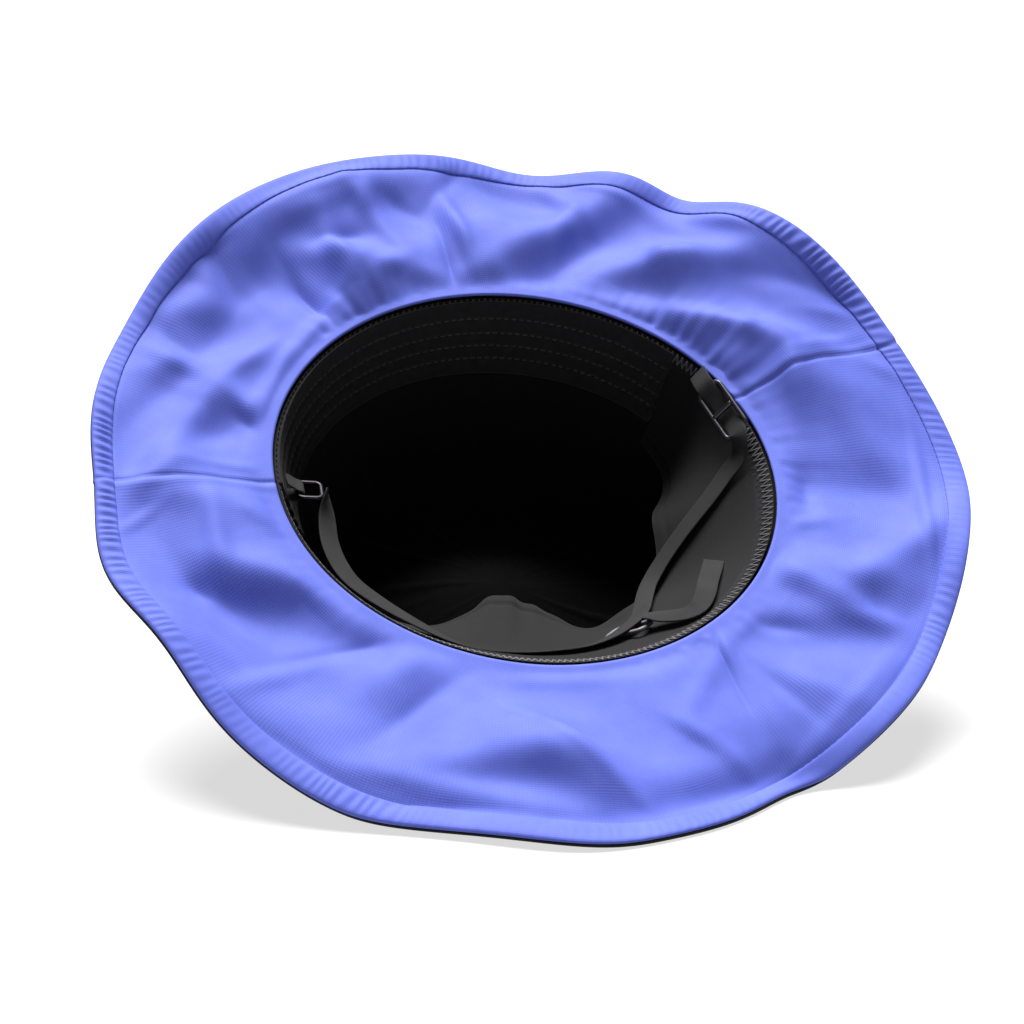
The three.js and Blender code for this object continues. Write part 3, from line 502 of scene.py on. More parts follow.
# Sharper creases, in the same columns
CREASES = [
    (147.8, 41.1, 151, 11, 3.9, 1.18), (109.1, 32.4, 95, 17, 4.5, 2.14),
    (93.5, 38.9, 31, 11, 3.8, -0.83), (85.3, 39.2, 119, 22, 4.5, 2.00),
    (85.1, 41.0, 62, 22, 4.5, 1.63), (133.7, 66.7, 172, 13, 3.1, 0.74),
    (135.4, 74.9, 125, 22, 4.5, -2.42), (91.2, 57.7, 148, 22, 4.5, 1.25),
    (100.3, 113.7, 145, 15, 2.7, 1.45), (96.0, 116.6, 139, 15, 4.5, 1.45),
    (66.9, 92.8, 97, 15, 4.5, 1.92), (49.5, 74.5, 151, 22, 1.8, 0.98),
    (48.6, 75.8, 151, 14, 2.6, 1.43), (76.2, 120.6, 140, 12, 4.5, 1.28),
    (48.9, 141.0, 151, 16, 2.4, 1.34), (32.3, 122.2, 66, 16, 4.5, 1.23),
    (30.1, 142.8, 122, 22, 4.0, 1.65), (21.0, 148.3, 156, 15, 3.8, 1.13),
    (-9.5, 151.0, 56, 22, 3.8, -1.32), (-11.8, 118.9, 101, 22, 3.0, 1.54),
    (-17.2, 99.6, 96, 22, 2.4, -1.30), (-34.5, 132.8, 136, 10, 4.5, -1.52),
    (-47.6, 135.6, 73, 10, 4.5, 1.68), (-41.6, 99.0, 34, 10, 4.2, 1.05),
    (-63.2, 140.7, 25, 22, 4.5, 2.31), (-59.7, 114.7, 9, 10, 4.5, -1.46),
    (-69.9, 129.8, 26, 22, 4.5, 1.25), (-60.9, 104.5, 106, 22, 4.5, 2.48),
    (-53.9, 78.9, 26, 13, 3.2, 1.68), (-77.7, 95.0, 118, 20, 3.1, -0.91),
    (-61.6, 74.8, 104, 18, 4.5, 1.48), (-71.1, 82.6, 128, 22, 3.1, -1.08),
    (-109.6, 103.0, 107, 22, 4.5, -1.72), (-116.4, 108.8, 20, 13, 3.1, -1.11),
    
    (-123.0, 98.3, 142, 9, 4.5, -1.12), 
    (-98.2, 58.0, 38, 15, 3.2, 0.69),
    (-134.3, 73.4, 127, 19, 4.5, -1.00), (-132.3, 60.1, 158, 22, 4.2, 0.94),
    (-92.5, 39.6, 67, 18, 2.1, 1.16), (-133.4, 56.4, 13, 6, 3.5, 0.34),
    (-122.4, 43.7, 147, 17, 4.5, 0.81), (-100.7, 27.6, 135, 8, 3.2, -1.23),
    (-106.2, 6.4, 175, 21, 2.4, 0.51), (-140.8, 2.5, 28, 21, 4.4, 0.74),
    (-152.1, -20.5, 36, 13, 2.7, 0.77), (-97.2, -18.2, 146, 12, 4.5, 1.53),
    (-117.9, -25.7, 94, 17, 4.5, 1.63), (-127.9, -47.9, 130, 6, 4.5, -1.12),
    (-130.1, -65.0, 143, 19, 4.5, -1.04), (-106.5, -88.4, 24, 20, 4.4, 1.10),
    (-79.1, -75.5, 13, 22, 3.2, -0.82), (-91.6, -119.2, 143, 22, 2.4, -1.30),
    (-51.8, -100.2, 36, 22, 4.5, -0.94), (-48.3, -143.1, 164, 22, 4.5, -1.71),
    (-2.4, -121.9, 136, 22, 3.3, 1.30), (2.4, -151.6, 176, 22, 3.1, -1.69),
    (3.4, -90.5, 179, 22, 4.5, 1.59), 
    (32.6, -149.8, 10, 22, 4.5, -1.77), 
    (41.5, -117.3, 138, 11, 2.8, 0.75), (50.7, -123.7, 131, 22, 3.7, 0.94),
    (51.7, -96.2, 56, 22, 4.5, 0.72), (75.3, -119.1, 102, 22, 4.5, 1.16),
    (60.7, -90.2, 103, 19, 1.7, -0.91), (60.8, -78.6, 106, 10, 1.7, 0.93),
    (83.2, -106.4, 130, 19, 3.3, -0.64), (92.5, -103.0, 145, 15, 4.5, 0.79),
    (70.2, -73.2, 34, 10, 4.4, 0.86), (83.9, -74.8, 165, 11, 3.5, -0.86),
    (123.1, -101.2, 47, 22, 1.7, -0.96), (122.7, -76.9, 164, 16, 3.6, 0.77),
    (149.9, -59.4, 68, 22, 4.5, -1.41), 
    (98.1, -30.2, 6, 13, 3.1, 0.74), (105.1, -14.9, 84, 11, 4.5, -1.16),
]


def degrees_between(a, b):
    return (a - b + 180) % 360 - 180


def bump_at(distance, spread):
    """A smooth bump, 1 at no distance and e to the minus (distance / spread) squared away."""
    return np.exp(-(distance / spread) ** 2)


def settle(height, lowest):
    """A height eased to the lowest that the floor leaves free, over 5 mm either side of it."""
    above = height - lowest
    return np.where(above < -5, lowest, np.where(above > 5, height, lowest + (above + 5) ** 2 / 20))


def flat_place(angle, share):
    """Place on the brim's flat pattern in mm, about the opening's middle."""
    radius = opening_radius(angle) + BRIM_WIDTH * share
    return np.stack([radius * np.cos(np.radians(angle)), radius * np.sin(np.radians(angle))], axis=-1)


def cloth_folds(angle, share):
    """Sum of the cloth's folds in mm: each is a long bump. They stand three tenths higher in the
    brim's inner part, and fade to nothing at the rim and at the edge."""
    spot = flat_place(angle, share)
    total = np.zeros(spot.shape[:-1])
    for across, up, turn, long, wide, height in CLOTH_FOLDS + CREASES:
        c, s = math.cos(math.radians(turn)), math.sin(math.radians(turn))
        x, y = spot[..., 0] - across, spot[..., 1] - up
        total += height * np.exp(-((x * c + y * s) / long) ** 2 - ((y * c - x * s) / wide) ** 2)
    from_rim, from_edge = np.maximum(share, 0), np.maximum(1 - share, 0)
    total = total * (1 + 0.3 * np.clip((0.8 - share) / 0.3, 0, 1))
    return total * (1 - np.exp(-(from_rim / 0.08) ** 2)) * (1 - np.exp(-(from_edge / 0.16) ** 2))


def brim_form(angle, share):
    """The brim's middle surface: the edge lifts and draws in by its waves, and folds dip in."""
    waves = BRIM_WAVES + [(at, EDGE_SPREAD, lifted, drawn_in) for at, lifted, drawn_in in EDGE_SHIFTS]
    lift = sum(row[2] * bump_at(degrees_between(angle, row[0]), row[1]) for row in waves)
    drawn = sum(row[3] * bump_at(degrees_between(angle, row[0]), row[1]) for row in waves)
    reach = BRIM_WIDTH * share * (1 - drawn * share) * np.sqrt(1 - lift ** 2)
    folds = sum(
        row[4] * bump_at(degrees_between(angle, row[0]), row[1]) * bump_at(share - row[2], row[3])
        for row in BRIM_FOLDS)
    rise = BRIM_WIDTH * (lift * np.maximum(share, 0) ** 1.5 + folds * np.clip(6 * share, 0, 1)) + cloth_folds(angle, share)
    radius = opening_radius(angle) + BRIM_START + reach
    point = place(radius * np.cos(np.radians(angle)), radius * np.sin(np.radians(angle)), rise)
    point[..., 2] = settle(point[..., 2], 2.05)
    return point


def outwards(surface, angle, share, step):
    """Unit normals of a surface from small steps both ways, on the opening's side of the brim."""
    around = surface(angle + 0.5, share) - surface(angle - 0.5, share)
    across = surface(angle, share + step) - surface(angle, share - step)
    return unit(np.cross(across, around))


# Gathers at the rim: place and spread in degrees, height in mm
RIM_GATHERS = [(126, 13, 0.34), (38, 17, 0.4), (357, 14, 0.14), (304, 14, 0.2), (205, 25, 0.06), (80, 30, 0.06)]


def gathers(angle, share):
    """Small radial gathers at the rim: waves of mixed pitch that die out a sixth of the way."""
    turn = np.radians(angle)
    wave = np.sin(turn * 47 + 1.3) + 0.7 * np.sin(turn * 71 + 0.4) + 0.6 * np.sin(turn * 113 + 2.2)
    height = sum(row[2] * bump_at(degrees_between(angle, row[0]), row[1]) for row in RIM_GATHERS)
    return height * wave * np.exp(-(share / 0.15)) * np.clip(share * 50, 0, 1)


def seam_grooves(angle, share):
    """A narrow groove along each side seam, with the cloth standing up a little beside it."""
    total = 0
    for seam in (19, 180):
        aside = degrees_between(angle, seam) * np.pi / 180 * (opening_radius(angle) + BRIM_WIDTH * share)
        total = total - 0.7 * bump_at(aside, 0.9) + 0.35 * bump_at(aside - 2.6, 1.8)
    return total


def brim_detail(angle, share):
    return gathers(angle, share) + seam_grooves(angle, share)


def brim_offset(angle, share, away):
    """The brim's form moved along its normals by the cloth's detail and a further distance."""
    point = brim_form(angle, share) + outwards(brim_form, angle, share, 0.02) * (
        brim_detail(angle, share) + away)[..., None]
    point[..., 2] = np.maximum(point[..., 2], 0.02 + 0.2 * (away > 0))
    return point


def ring_grid(count, shares):
    angles = np.arange(count) * 360 / count
    return np.meshgrid(angles, shares, indexing="ij")


# Periwinkle nylon, plain woven from fine yarn: soft satin sheen, barely visible weave
blue_nylon, tree, shader = new_material("periwinkle nylon, plain weave")
shader.inputs["Roughness"].default_value = 0.68
shader.inputs["Specular IOR Level"].default_value = 0.2
shader.inputs["Sheen Weight"].default_value = 0.03
shader.inputs["Sheen Roughness"].default_value = 0.5
spot = add(tree, "ShaderNodeTexCoord")
split = add(tree, "ShaderNodeSeparateXYZ", Vector=spot.outputs["UV"])
YARN = 0.8  # twice the real yarn, so that it just shows
yarn_turns = 2 * math.pi * 1000 / YARN
warp = add(tree, "ShaderNodeMath", {"operation": "MULTIPLY", 1: yarn_turns}, i0=split.outputs["X"])
weft = add(tree, "ShaderNodeMath", {"operation": "MULTIPLY", 1: yarn_turns}, i0=split.outputs["Y"])
warp_wave = add(tree, "ShaderNodeMath", {"operation": "SINE"}, i0=warp.outputs[0])
weft_wave = add(tree, "ShaderNodeMath", {"operation": "SINE"}, i0=weft.outputs[0])
woven = add(tree, "ShaderNodeMath", {"operation": "ADD"}, i0=warp_wave.outputs[0], i1=weft_wave.outputs[0])
mottle = add(tree, "ShaderNodeTexNoise", {"Scale": 55.0, "Detail": 5.0, "Roughness": 0.6}, Vector=spot.outputs["Object"])
shade = add(tree, "ShaderNodeMath", {"operation": "MULTIPLY_ADD", 1: 0.04}, i0=woven.outputs[0], i2=mottle.outputs["Fac"])
dye = add(tree, "ShaderNodeValToRGB", Fac=shade.outputs[0])
dye.color_ramp.elements[0].position, dye.color_ramp.elements[1].position = 0.3, 0.7
dye.color_ramp.elements[0].color = linear("#4753a6")
dye.color_ramp.elements[1].color = linear("#505cb0")
tree.links.new(dye.outputs["Color"], shader.inputs["Base Color"])
fine = add(tree, "ShaderNodeBump", {"Strength": 0.1, "Distance": 0.0002}, Height=woven.outputs[0])
tree.links.new(fine.outputs["Normal"], shader.inputs["Normal"])

# one closed loop across the brim: out over the face of the cloth, back under it
UNDER_ROWS = 74
under_out = np.linspace(-0.04, HEM_START + 0.04, UNDER_ROWS)
under_back = np.linspace(HEM_START + 0.04, -0.04, 12)
angle, share = ring_grid(1040, np.concatenate([under_out, under_back]))
away = np.concatenate([np.full(UNDER_ROWS, 1.15), np.full(12, 0.15)])
edge_turn = 0.25 * bump_at(under_out - HEM_START, 0.012)
away[:UNDER_ROWS] -= edge_turn
sections = brim_offset(angle, share, np.broadcast_to(away, angle.shape))[:, ::-1]
under_brim = closed_loft("under_brim_cloth", sections, ring=True)
under_brim.data.materials.append(blue_nylon)
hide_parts("under_brim_front", "under_brim_back")

# Hem: the cloth's edge turned under and sewn down nine millimetres in. The thread draws it up,
# so that it puckers into short slanting ribs; where it is pulled hard they are deepest.
HEM_PUFF = 0.9
# place and spread in degrees, depth of the ribs in mm
HEM_PUCKERS = [
    (108, 34, 0.14), (178, 21, 0.42), (205, 14, 0.16), (34, 15, 0.4), (240, 9, 0.16), (284, 9, 0.18), (330, 9, 0.18),
    (5, 14, 0.16), (262, 30, 0.06),
]


hem_turn = np.linspace(0, 1, 26)
hem_share = HEM_START + (1 - HEM_START) * (0.5 - 0.5 * np.cos(np.pi * hem_turn)) * 1.0
hem_rise = 1.15 + HEM_PUFF * np.sin(np.pi * hem_turn) ** 0.8 - 0.9 * (hem_turn ** 6)
hem_rise[0] = 0.6
angle, share = ring_grid(1500, np.concatenate([hem_share, hem_share[::-1][1:-1:4]]))
rise = np.concatenate([hem_rise, np.full(len(hem_share[::-1][1:-1:4]), 0.15)])
ribs = sum(row[2] * bump_at(degrees_between(angle, row[0]), row[1]) for row in HEM_PUCKERS)
over_hem = np.clip((share - HEM_START) / (1 - HEM_START), 0, 1)
rib_wave = np.sin(np.radians(angle) * 272 + over_hem * 2.6 + 2.2 * np.sin(np.radians(angle) * 23) + 1.3 * np.sin(np.radians(angle) * 61))
face_side = (np.arange(share.shape[1]) < len(hem_share))[None, :]
rise = np.where(face_side, rise[None, :] + ribs * rib_wave * np.sin(np.pi * np.clip(over_hem * 0.85 + 0.1, 0, 1)), rise[None, :])
sections = brim_offset(angle, share, rise)[:, ::-1]
hem_under = closed_loft("under_brim_hem", sections, ring=True)
hem_under.data.materials.append(blue_nylon)
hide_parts("under_brim_front", "under_brim_back")

# Stitches of the hem: lockstitch in blue thread, each a short bead sunk into the cloth. The thread is coloured darker
# than the cloth as painted shade of the dimples the stitches sink into.
STITCH_PITCH = 3.0
STITCH_ROUND = np.linspace(0, 2 * np.pi, 7, endpoint=False)
STITCH_ALONG = np.array([-1.0, -0.7, 0.0, 0.7, 1.0])
STITCH_SWELL = np.array([0.25, 0.8, 1.0, 0.8, 0.25])


def stitch_row(name, middle, along, normal, length, radius, material, replaced):
    """Beads on a line: spindles of a few sides, each along its own direction at its own middle."""
    side = unit(np.cross(along, normal))
    up = np.cross(side, along)
    ring_shape = (np.cos(STITCH_ROUND)[:, None, None] * side[None] + np.sin(STITCH_ROUND)[:, None, None] * up[None])
    points = (middle[:, None, None] + along[:, None, None] * (STITCH_ALONG * length / 2)[None, :, None, None]
              + np.moveaxis(ring_shape, 1, 0)[:, None] * (STITCH_SWELL * radius)[None, :, None, None])
    points[..., 2] = np.maximum(points[..., 2], 0.02)
    count, rings, sides = points.shape[:3]
    base = np.arange(count)[:, None, None] * rings * sides
    k, j = np.meshgrid(np.arange(rings - 1), np.arange(sides), indexing="ij")
    quad = np.stack([k * sides + j, k * sides + (j + 1) % sides, (k + 1) * sides + (j + 1) % sides, (k + 1) * sides + j], axis=-1)
    quads = (base[..., None] + quad[None]).reshape(-1, 4)
    first = np.arange(sides)[::-1][None] + base[:, 0]
    last = np.arange(sides)[None] + base[:, 0] + (rings - 1) * sides
    mesh = bpy.data.meshes.new(name)
    mesh.from_pydata((points.reshape(-1, 3) * 0.001).tolist(), [], quads.tolist() + first.tolist() + last.tolist())
    mesh.polygons.foreach_set("use_smooth", np.full(len(mesh.polygons), True))
    mesh.update()
    piece = bpy.data.objects.new(name, mesh)
    bpy.context.scene.collection.objects.link(piece)
    piece.data.materials.append(material)
    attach(piece, "root")
    return piece


# Spun polyester thread: matt and twisted, near the cloth's own colour; the blue one is coloured darker than the blue
# cloth, painted shade of the stitch dimples
def spun_thread(name, dark, light):
    material, tree, shader = new_material(name)
    shader.inputs["Roughness"].default_value = 0.7
    shader.inputs["Sheen Weight"].default_value = 0.3
    spot = add(tree, "ShaderNodeTexCoord")
    twist = add(tree, "ShaderNodeTexNoise", {"Scale": 1500.0, "Detail": 2.0}, Vector=spot.outputs["Object"])
    tint = add(tree, "ShaderNodeValToRGB", Fac=twist.outputs["Fac"])
    tint.color_ramp.elements[0].color = linear(dark)
    tint.color_ramp.elements[1].color = linear(light)
    tree.links.new(tint.outputs["Color"], shader.inputs["Base Color"])
    bump = add(tree, "ShaderNodeBump", {"Strength": 0.4, "Distance": 0.0001}, Height=twist.outputs["Fac"])
    tree.links.new(bump.outputs["Normal"], shader.inputs["Normal"])
    return material


# The blue thread's colour is darker than the cloth's: painted shade of the dimples round the hem stitches
blue_thread_painted_shade = spun_thread("blue polyester thread, spun, painted darker for shade", "#27338c", "#3443a4")
black_thread = spun_thread("black polyester thread, spun", "#111012", "#242124")


def brim_line(share, away, pitch):
    """Middles, directions and normals of stitches spaced by their pitch round the brim."""
    fine = np.linspace(0, 360, 3601)
    line = brim_offset(fine, np.full_like(fine, share), np.full_like(fine, away))
    run = np.concatenate([[0], np.cumsum(np.linalg.norm(np.diff(line, axis=0), axis=-1))])
    count = int(run[-1] / pitch)
    at = np.interp((np.arange(count) + 0.5) * run[-1] / count, run, fine)
    here = brim_offset(at, np.full_like(at, share), np.full_like(at, away))
    ahead = brim_offset(at + 0.3, np.full_like(at, share), np.full_like(at, away))
    return here, unit(ahead - here), outwards(brim_form, at, np.full_like(at, share), 0.02)


here, along, normal = brim_line(HEM_START, 0.75, STITCH_PITCH)
hem_stitches = stitch_row("hem_stitches", here, along, normal, 2.0, 0.36, blue_thread_painted_shade, ())

# ---------------------------------------------------------------------------
# Brim, upper side: black cotton-nylon poplin on the face that is worn up. Two
# rows of topstitching hold the hem's turning.
# ---------------------------------------------------------------------------


def poplin(name, dark, light, yarn=0.9, strength=0.25):
    """Black poplin: plain weave, matt, with paler slubs."""
    material, tree, shader = new_material(name)
    shader.inputs["Roughness"].default_value = 0.85
    shader.inputs["Sheen Weight"].default_value = 0.04
    shader.inputs["Sheen Roughness"].default_value = 0.5
    shader.inputs["Specular IOR Level"].default_value = 0.2
    spot = add(tree, "ShaderNodeTexCoord")
    split = add(tree, "ShaderNodeSeparateXYZ", Vector=spot.outputs["UV"])
    turns = 2 * math.pi * 1000 / yarn
    warp = add(tree, "ShaderNodeMath", {"operation": "MULTIPLY", 1: turns}, i0=split.outputs["X"])
    weft = add(tree, "ShaderNodeMath", {"operation": "MULTIPLY", 1: turns}, i0=split.outputs["Y"])
    warp_wave = add(tree, "ShaderNodeMath", {"operation": "SINE"}, i0=warp.outputs[0])
    weft_wave = add(tree, "ShaderNodeMath", {"operation": "SINE"}, i0=weft.outputs[0])
    woven = add(tree, "ShaderNodeMath", {"operation": "MULTIPLY"}, i0=warp_wave.outputs[0], i1=weft_wave.outputs[0])
    slub = add(tree, "ShaderNodeTexNoise", {"Scale": 300.0, "Detail": 4.0}, Vector=spot.outputs["Object"])
    shade = add(tree, "ShaderNodeMath", {"operation": "MULTIPLY_ADD", 1: 0.15}, i0=woven.outputs[0], i2=slub.outputs["Fac"])
    dye = add(tree, "ShaderNodeValToRGB", Fac=shade.outputs[0])
    dye.color_ramp.elements[0].position, dye.color_ramp.elements[1].position = 0.3, 0.75
    dye.color_ramp.elements[0].color = linear(dark)
    dye.color_ramp.elements[1].color = linear(light)
    tree.links.new(dye.outputs["Color"], shader.inputs["Base Color"])
    bump = add(tree, "ShaderNodeBump", {"Strength": strength, "Distance": 0.0002}, Height=woven.outputs[0])
    tree.links.new(bump.outputs["Normal"], shader.inputs["Normal"])
    return material


black_poplin = poplin("black poplin, plain weave", "#0b0a0c", "#151417")
top_out = np.linspace(0, 1, 46)
top_puff = HEM_PUFF * np.clip(np.sin(np.pi * np.clip((top_out - HEM_START) / (1 - HEM_START), 0, 1)), 0, 1)
angle, share = ring_grid(760, np.concatenate([top_out, top_out[::-1][::4]]))
away = np.concatenate([-1.15 - top_puff, np.full(len(top_out[::4]), -0.15)])
sections = brim_offset(angle, share, np.broadcast_to(away, angle.shape))
brim_top = closed_loft("brim_top_cloth", sections, ring=True)
brim_top.data.materials.append(black_poplin)
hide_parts("brim_top_front", "brim_top_back")
for number, at_share in enumerate((HEM_START, 0.97)):
    here, along, normal = brim_line(at_share, -1.25 - (0.7 if number else 0), STITCH_PITCH)
    stitch_row("brim_top_stitches_%d" % number, here, along, normal, 2.1, 0.28, black_thread, ())

# ---------------------------------------------------------------------------
# Crown: black poplin side wall in two halves and an oval tip, sewn together
# with a turned seam and topstitched; it slumps where it lies on the floor.
# ---------------------------------------------------------------------------
CROWN_DEPTH = 97
CROWN_RINGS = np.array([
    (1, 0), (0.975, 0.16), (0.94, 0.34), (0.9, 0.54), (0.855, 0.74), (0.805, 0.9), (0.735, 0.98),
    (0.62, 1), (0.43, 1), (0.22, 1), (0, 1),
])


def ring_value(ring):
    """Radius and depth shares at a ring number: cubic steps whose slopes are half the difference
    of the rows either side."""
    last = len(CROWN_RINGS) - 1
    at = np.clip(np.floor(ring).astype(int), 0, last - 1)
    t = (ring - at)[..., None]
    value = [CROWN_RINGS[np.clip(at + k, 0, last)] for k in (-1, 0, 1, 2)]
    slope_here, slope_next = (value[2] - value[0]) / 2, (value[3] - value[1]) / 2
    return ((2 * t ** 3 - 3 * t ** 2 + 1) * value[1] + (t ** 3 - 2 * t ** 2 + t) * slope_here
            + (3 * t ** 2 - 2 * t ** 3) * value[2] + (t ** 3 - t ** 2) * slope_next)


def crown_form(angle, ring):
    """The crown's middle surface: rings down its depth, its tip pushed in where it lies."""
    share = ring_value(ring)
    radius, depth = opening_radius(angle) * share[..., 0], CROWN_DEPTH * share[..., 1]
    across, up = radius * np.cos(np.radians(angle)), radius * np.sin(np.radians(angle))
    push = (0.2 * CROWN_DEPTH * (depth / CROWN_DEPTH) ** 4
            * bump_at(across / 98 + 0.1, 0.42) * bump_at(up / 98 - 0.02, 0.26))
    point = place(across, up, push - depth)
    point[..., 2] = settle(point[..., 2], 0.6)
    return point


def crown_slack(angle, ring):
    """Slack of the crown's cloth in mm: broad dents, and small gathers down from the rim."""
    turn = np.radians(angle)
    dents = 0.9 * np.sin(turn * 5 + 0.6 * ring) + 0.6 * np.sin(turn * 8 - 0.9 * ring + 1)
    pulls = 0.25 * np.sin(turn * 43 + 0.5 * np.sin(turn * 7)) * np.exp(-ring / 1.5)
    fade = np.minimum(1, ring / 1.2) * np.minimum(1, (10 - ring) / 4)
    return (dents * np.abs(np.sin(turn * 1.5 + 0.4)) * 0.7 - 0.4) * fade + pulls * np.minimum(1, ring * 3)


def crown_offset(angle, ring, away):
    ring_safe = np.clip(ring, 0.02, 9.5)
    normal = unit(np.cross(
        crown_form(angle, ring_safe + 0.1) - crown_form(angle, ring_safe - 0.1),
        crown_form(angle + 0.5, ring_safe) - crown_form(angle - 0.5, ring_safe)))
    point = crown_form(angle, ring) + normal * (crown_slack(angle, ring) + away)[..., None]
    point[..., 2] = np.maximum(point[..., 2], 0.02)
    return point


def bag(name, ring_from, ring_to, high, low, count, rows, pole, groove=None, slack=None):
    """A closed cloth bag or band between two offsets of the crown: out over one side and back
    under the other. With a pole both sides close on the crown's middle."""
    rings = np.linspace(ring_from, ring_to, rows)
    angle, ring = ring_grid(count, np.concatenate([rings, rings[::-1][::3]]))
    away = np.concatenate([np.full(rows, high), np.full(len(rings[::-1][::3]), low)])
    away = np.broadcast_to(away, angle.shape).copy()
    if groove is not None:
        outer = (np.arange(angle.shape[1]) < rows)[None]
        away = away + groove(angle, ring) * outer
    if slack is not None:
        away = away + slack(angle, ring)
    points = crown_offset(angle, ring, away)
    if pole:
        last = np.isclose(rings, ring_to).argmax()
        for column in (last, last + 1):
            points[:, column] = points[:, column].mean(axis=0)
    piece = closed_loft(name, points, ring=True)
    if pole:
        merged = bmesh.new()
        merged.from_mesh(piece.data)
        bmesh.ops.remove_doubles(merged, verts=merged.verts, dist=1e-7)
        merged.to_mesh(piece.data)
        merged.free()
    return piece


def side_seam_groove(angle, ring):
    """A turned seam down the side wall at 19 and 180 degrees: a groove with a raised side."""
    total = 0
    for seam in (19, 180):
        aside = np.radians(degrees_between(angle, seam)) * 85
        total = total - 0.7 * bump_at(aside, 0.9) + 0.4 * bump_at(aside - 3, 2)
    return total - 0.8 * bump_at(ring - 5.95, 0.06)


crown_side = bag("crown_side_cloth", 0, 5.98, 0.6, -0.6, 640, 50, False, side_seam_groove)
crown_side.data.materials.append(black_poplin)
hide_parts("crown_side_front", "crown_side_back")
crown_tip = bag("crown_tip_cloth", 6.0, 10, 0.6, -0.6, 480, 36, True)
crown_tip.data.materials.append(black_poplin)
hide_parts("crown_tip")


def crown_line(ring, away, pitch):
    fine = np.linspace(0, 360, 3601)
    line = crown_offset(fine, np.full_like(fine, ring), np.full_like(fine, away))
    run = np.concatenate([[0], np.cumsum(np.linalg.norm(np.diff(line, axis=0), axis=-1))])
    count = int(run[-1] / pitch)
    at = np.interp((np.arange(count) + 0.5) * run[-1] / count, run, fine)
    here = crown_offset(at, np.full_like(at, ring), np.full_like(at, away))
    ahead = crown_offset(at + 0.3, np.full_like(at, ring), np.full_like(at, away))
    above = crown_offset(at, np.full_like(at, ring), np.full_like(at, away + 1))
    return here, unit(ahead - here), unit(above - here)


for number, ring in enumerate((5.6, 6.35)):
    here, along, normal = crown_line(ring, 0.65, STITCH_PITCH)
    free = here[:, 2] > 0.6
    stitch_row("crown_stitches_%d" % number, here[free], along[free], normal[free], 2.1, 0.26, black_thread, ())

# ---------------------------------------------------------------------------
# Lining: one bag of black taffeta that hangs in the crown, cut a little full,
# so that it falls in small folds.
# ---------------------------------------------------------------------------
taffeta = poplin("black taffeta, calendered", "#060506", "#0b0a0b", yarn=0.7, strength=0.15)
taffeta.node_tree.nodes["Principled BSDF"].inputs["Specular IOR Level"].default_value = 0.12


def lining_folds(angle, ring):
    """Slack of the lining below the bands: narrow folds down the wall that run out on the tip."""
    turn = np.radians(angle)
    wave = np.sin(turn * 13 + 0.7 * ring + np.sin(turn * 5)) + 0.6 * np.sin(turn * 29 - 0.5 * ring)
    fade = np.clip((ring - 3.2) / 1.5, 0, 1) * np.clip((9.6 - ring) / 3, 0, 1)
    return -1.3 * np.maximum(wave, 0) ** 1.5 * fade


lining = bag("crown_lining_bag", 0, 10, -0.9, -1.9, 520, 56, True, slack=lining_folds)
lining.data.materials.append(taffeta)
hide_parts("crown_lining")

# ---------------------------------------------------------------------------
# Bands inside the rim: a padded front band held by four rows of topstitching,
# and a wide plain back band whose hemmed edge leans in; a narrow overlocked
# tape covers their seam at the rim.
# ---------------------------------------------------------------------------
BAND_INSET = 2.2
BAND_LEANS = [(358, 24, 0.6), (320, 26, 0.5), (290, 24, 0.3), (258, 30, 0.56), (212, 28, 0.3)]
BAND_FLOPS = [(246, 17, 0.31), (272, 15, 0.18)]


def band_form(angle, along):
    """A band's outer face: it follows the wall down from the rim, and leans in by its own share."""
    lean = sum(row[2] * bump_at(degrees_between(angle, row[0]), row[1]) for row in BAND_LEANS)
    flop = lean + sum(row[2] * bump_at(degrees_between(angle, row[0]), row[1]) for row in BAND_FLOPS)
    bent = (along - 16 + np.hypot(along - 16, 4)) / 2
    depth = along * np.sqrt(1 - lean ** 2) + bent * (np.sqrt(1 - flop ** 2) - np.sqrt(1 - lean ** 2))
    share = np.clip(depth, 0, None) / CROWN_DEPTH
    at = np.clip(np.searchsorted(CROWN_RINGS[:7, 1], share, side="right") - 1, 0, 5)
    ring = at + (share - CROWN_RINGS[at, 1]) / (CROWN_RINGS[at + 1, 1] - CROWN_RINGS[at, 1])
    radius = opening_radius(angle) * ring_value(ring)[..., 0] - BAND_INSET - along * lean - bent * (flop - lean)
    return place(radius * np.cos(np.radians(angle)), radius * np.sin(np.radians(angle)), -depth)


def band_offset(angle, along, away):
    """The band's form moved along its normal, which points to the wall."""
    around = band_form(angle + 0.5, along) - band_form(angle - 0.5, along)
    down = band_form(angle, along + 0.5) - band_form(angle, along - 0.5)
    return band_form(angle, along) + unit(np.cross(down, around)) * away[..., None]


def band_piece(name, first, last, width, thick, steps, rows, relief, start=0.3):
    """A closed band between two angles; relief(angle, along) is what its inner face adds."""
    angles = np.linspace(first, last, steps)
    along = np.linspace(start, width, rows)
    loop = np.concatenate([along, along[::-1][::4]])
    angle, down = np.meshgrid(angles, loop, indexing="ij")
    inner = (np.arange(len(loop)) < rows)[None]
    away = np.where(inner, -thick - relief(angle, down), 0)
    return closed_loft(name, band_offset(angle, down, away)[:, ::-1], ring=abs(last - first) > 359)


FRONT_BAND_ROWS = (10.5, 18.0, 24.5, 31.0)


def front_relief(angle, along):
    """Padding that swells between the rows of topstitching, with a light edge roll at the bottom."""
    swell = 0.7 - sum(1.1 * bump_at(along - row, 1.1) for row in FRONT_BAND_ROWS)
    ripple = 0.08 * np.sin(np.radians(angle) * 150) * np.sin(along * 0.5)
    return swell + ripple + 0.5 * bump_at(along - 37, 1.2)


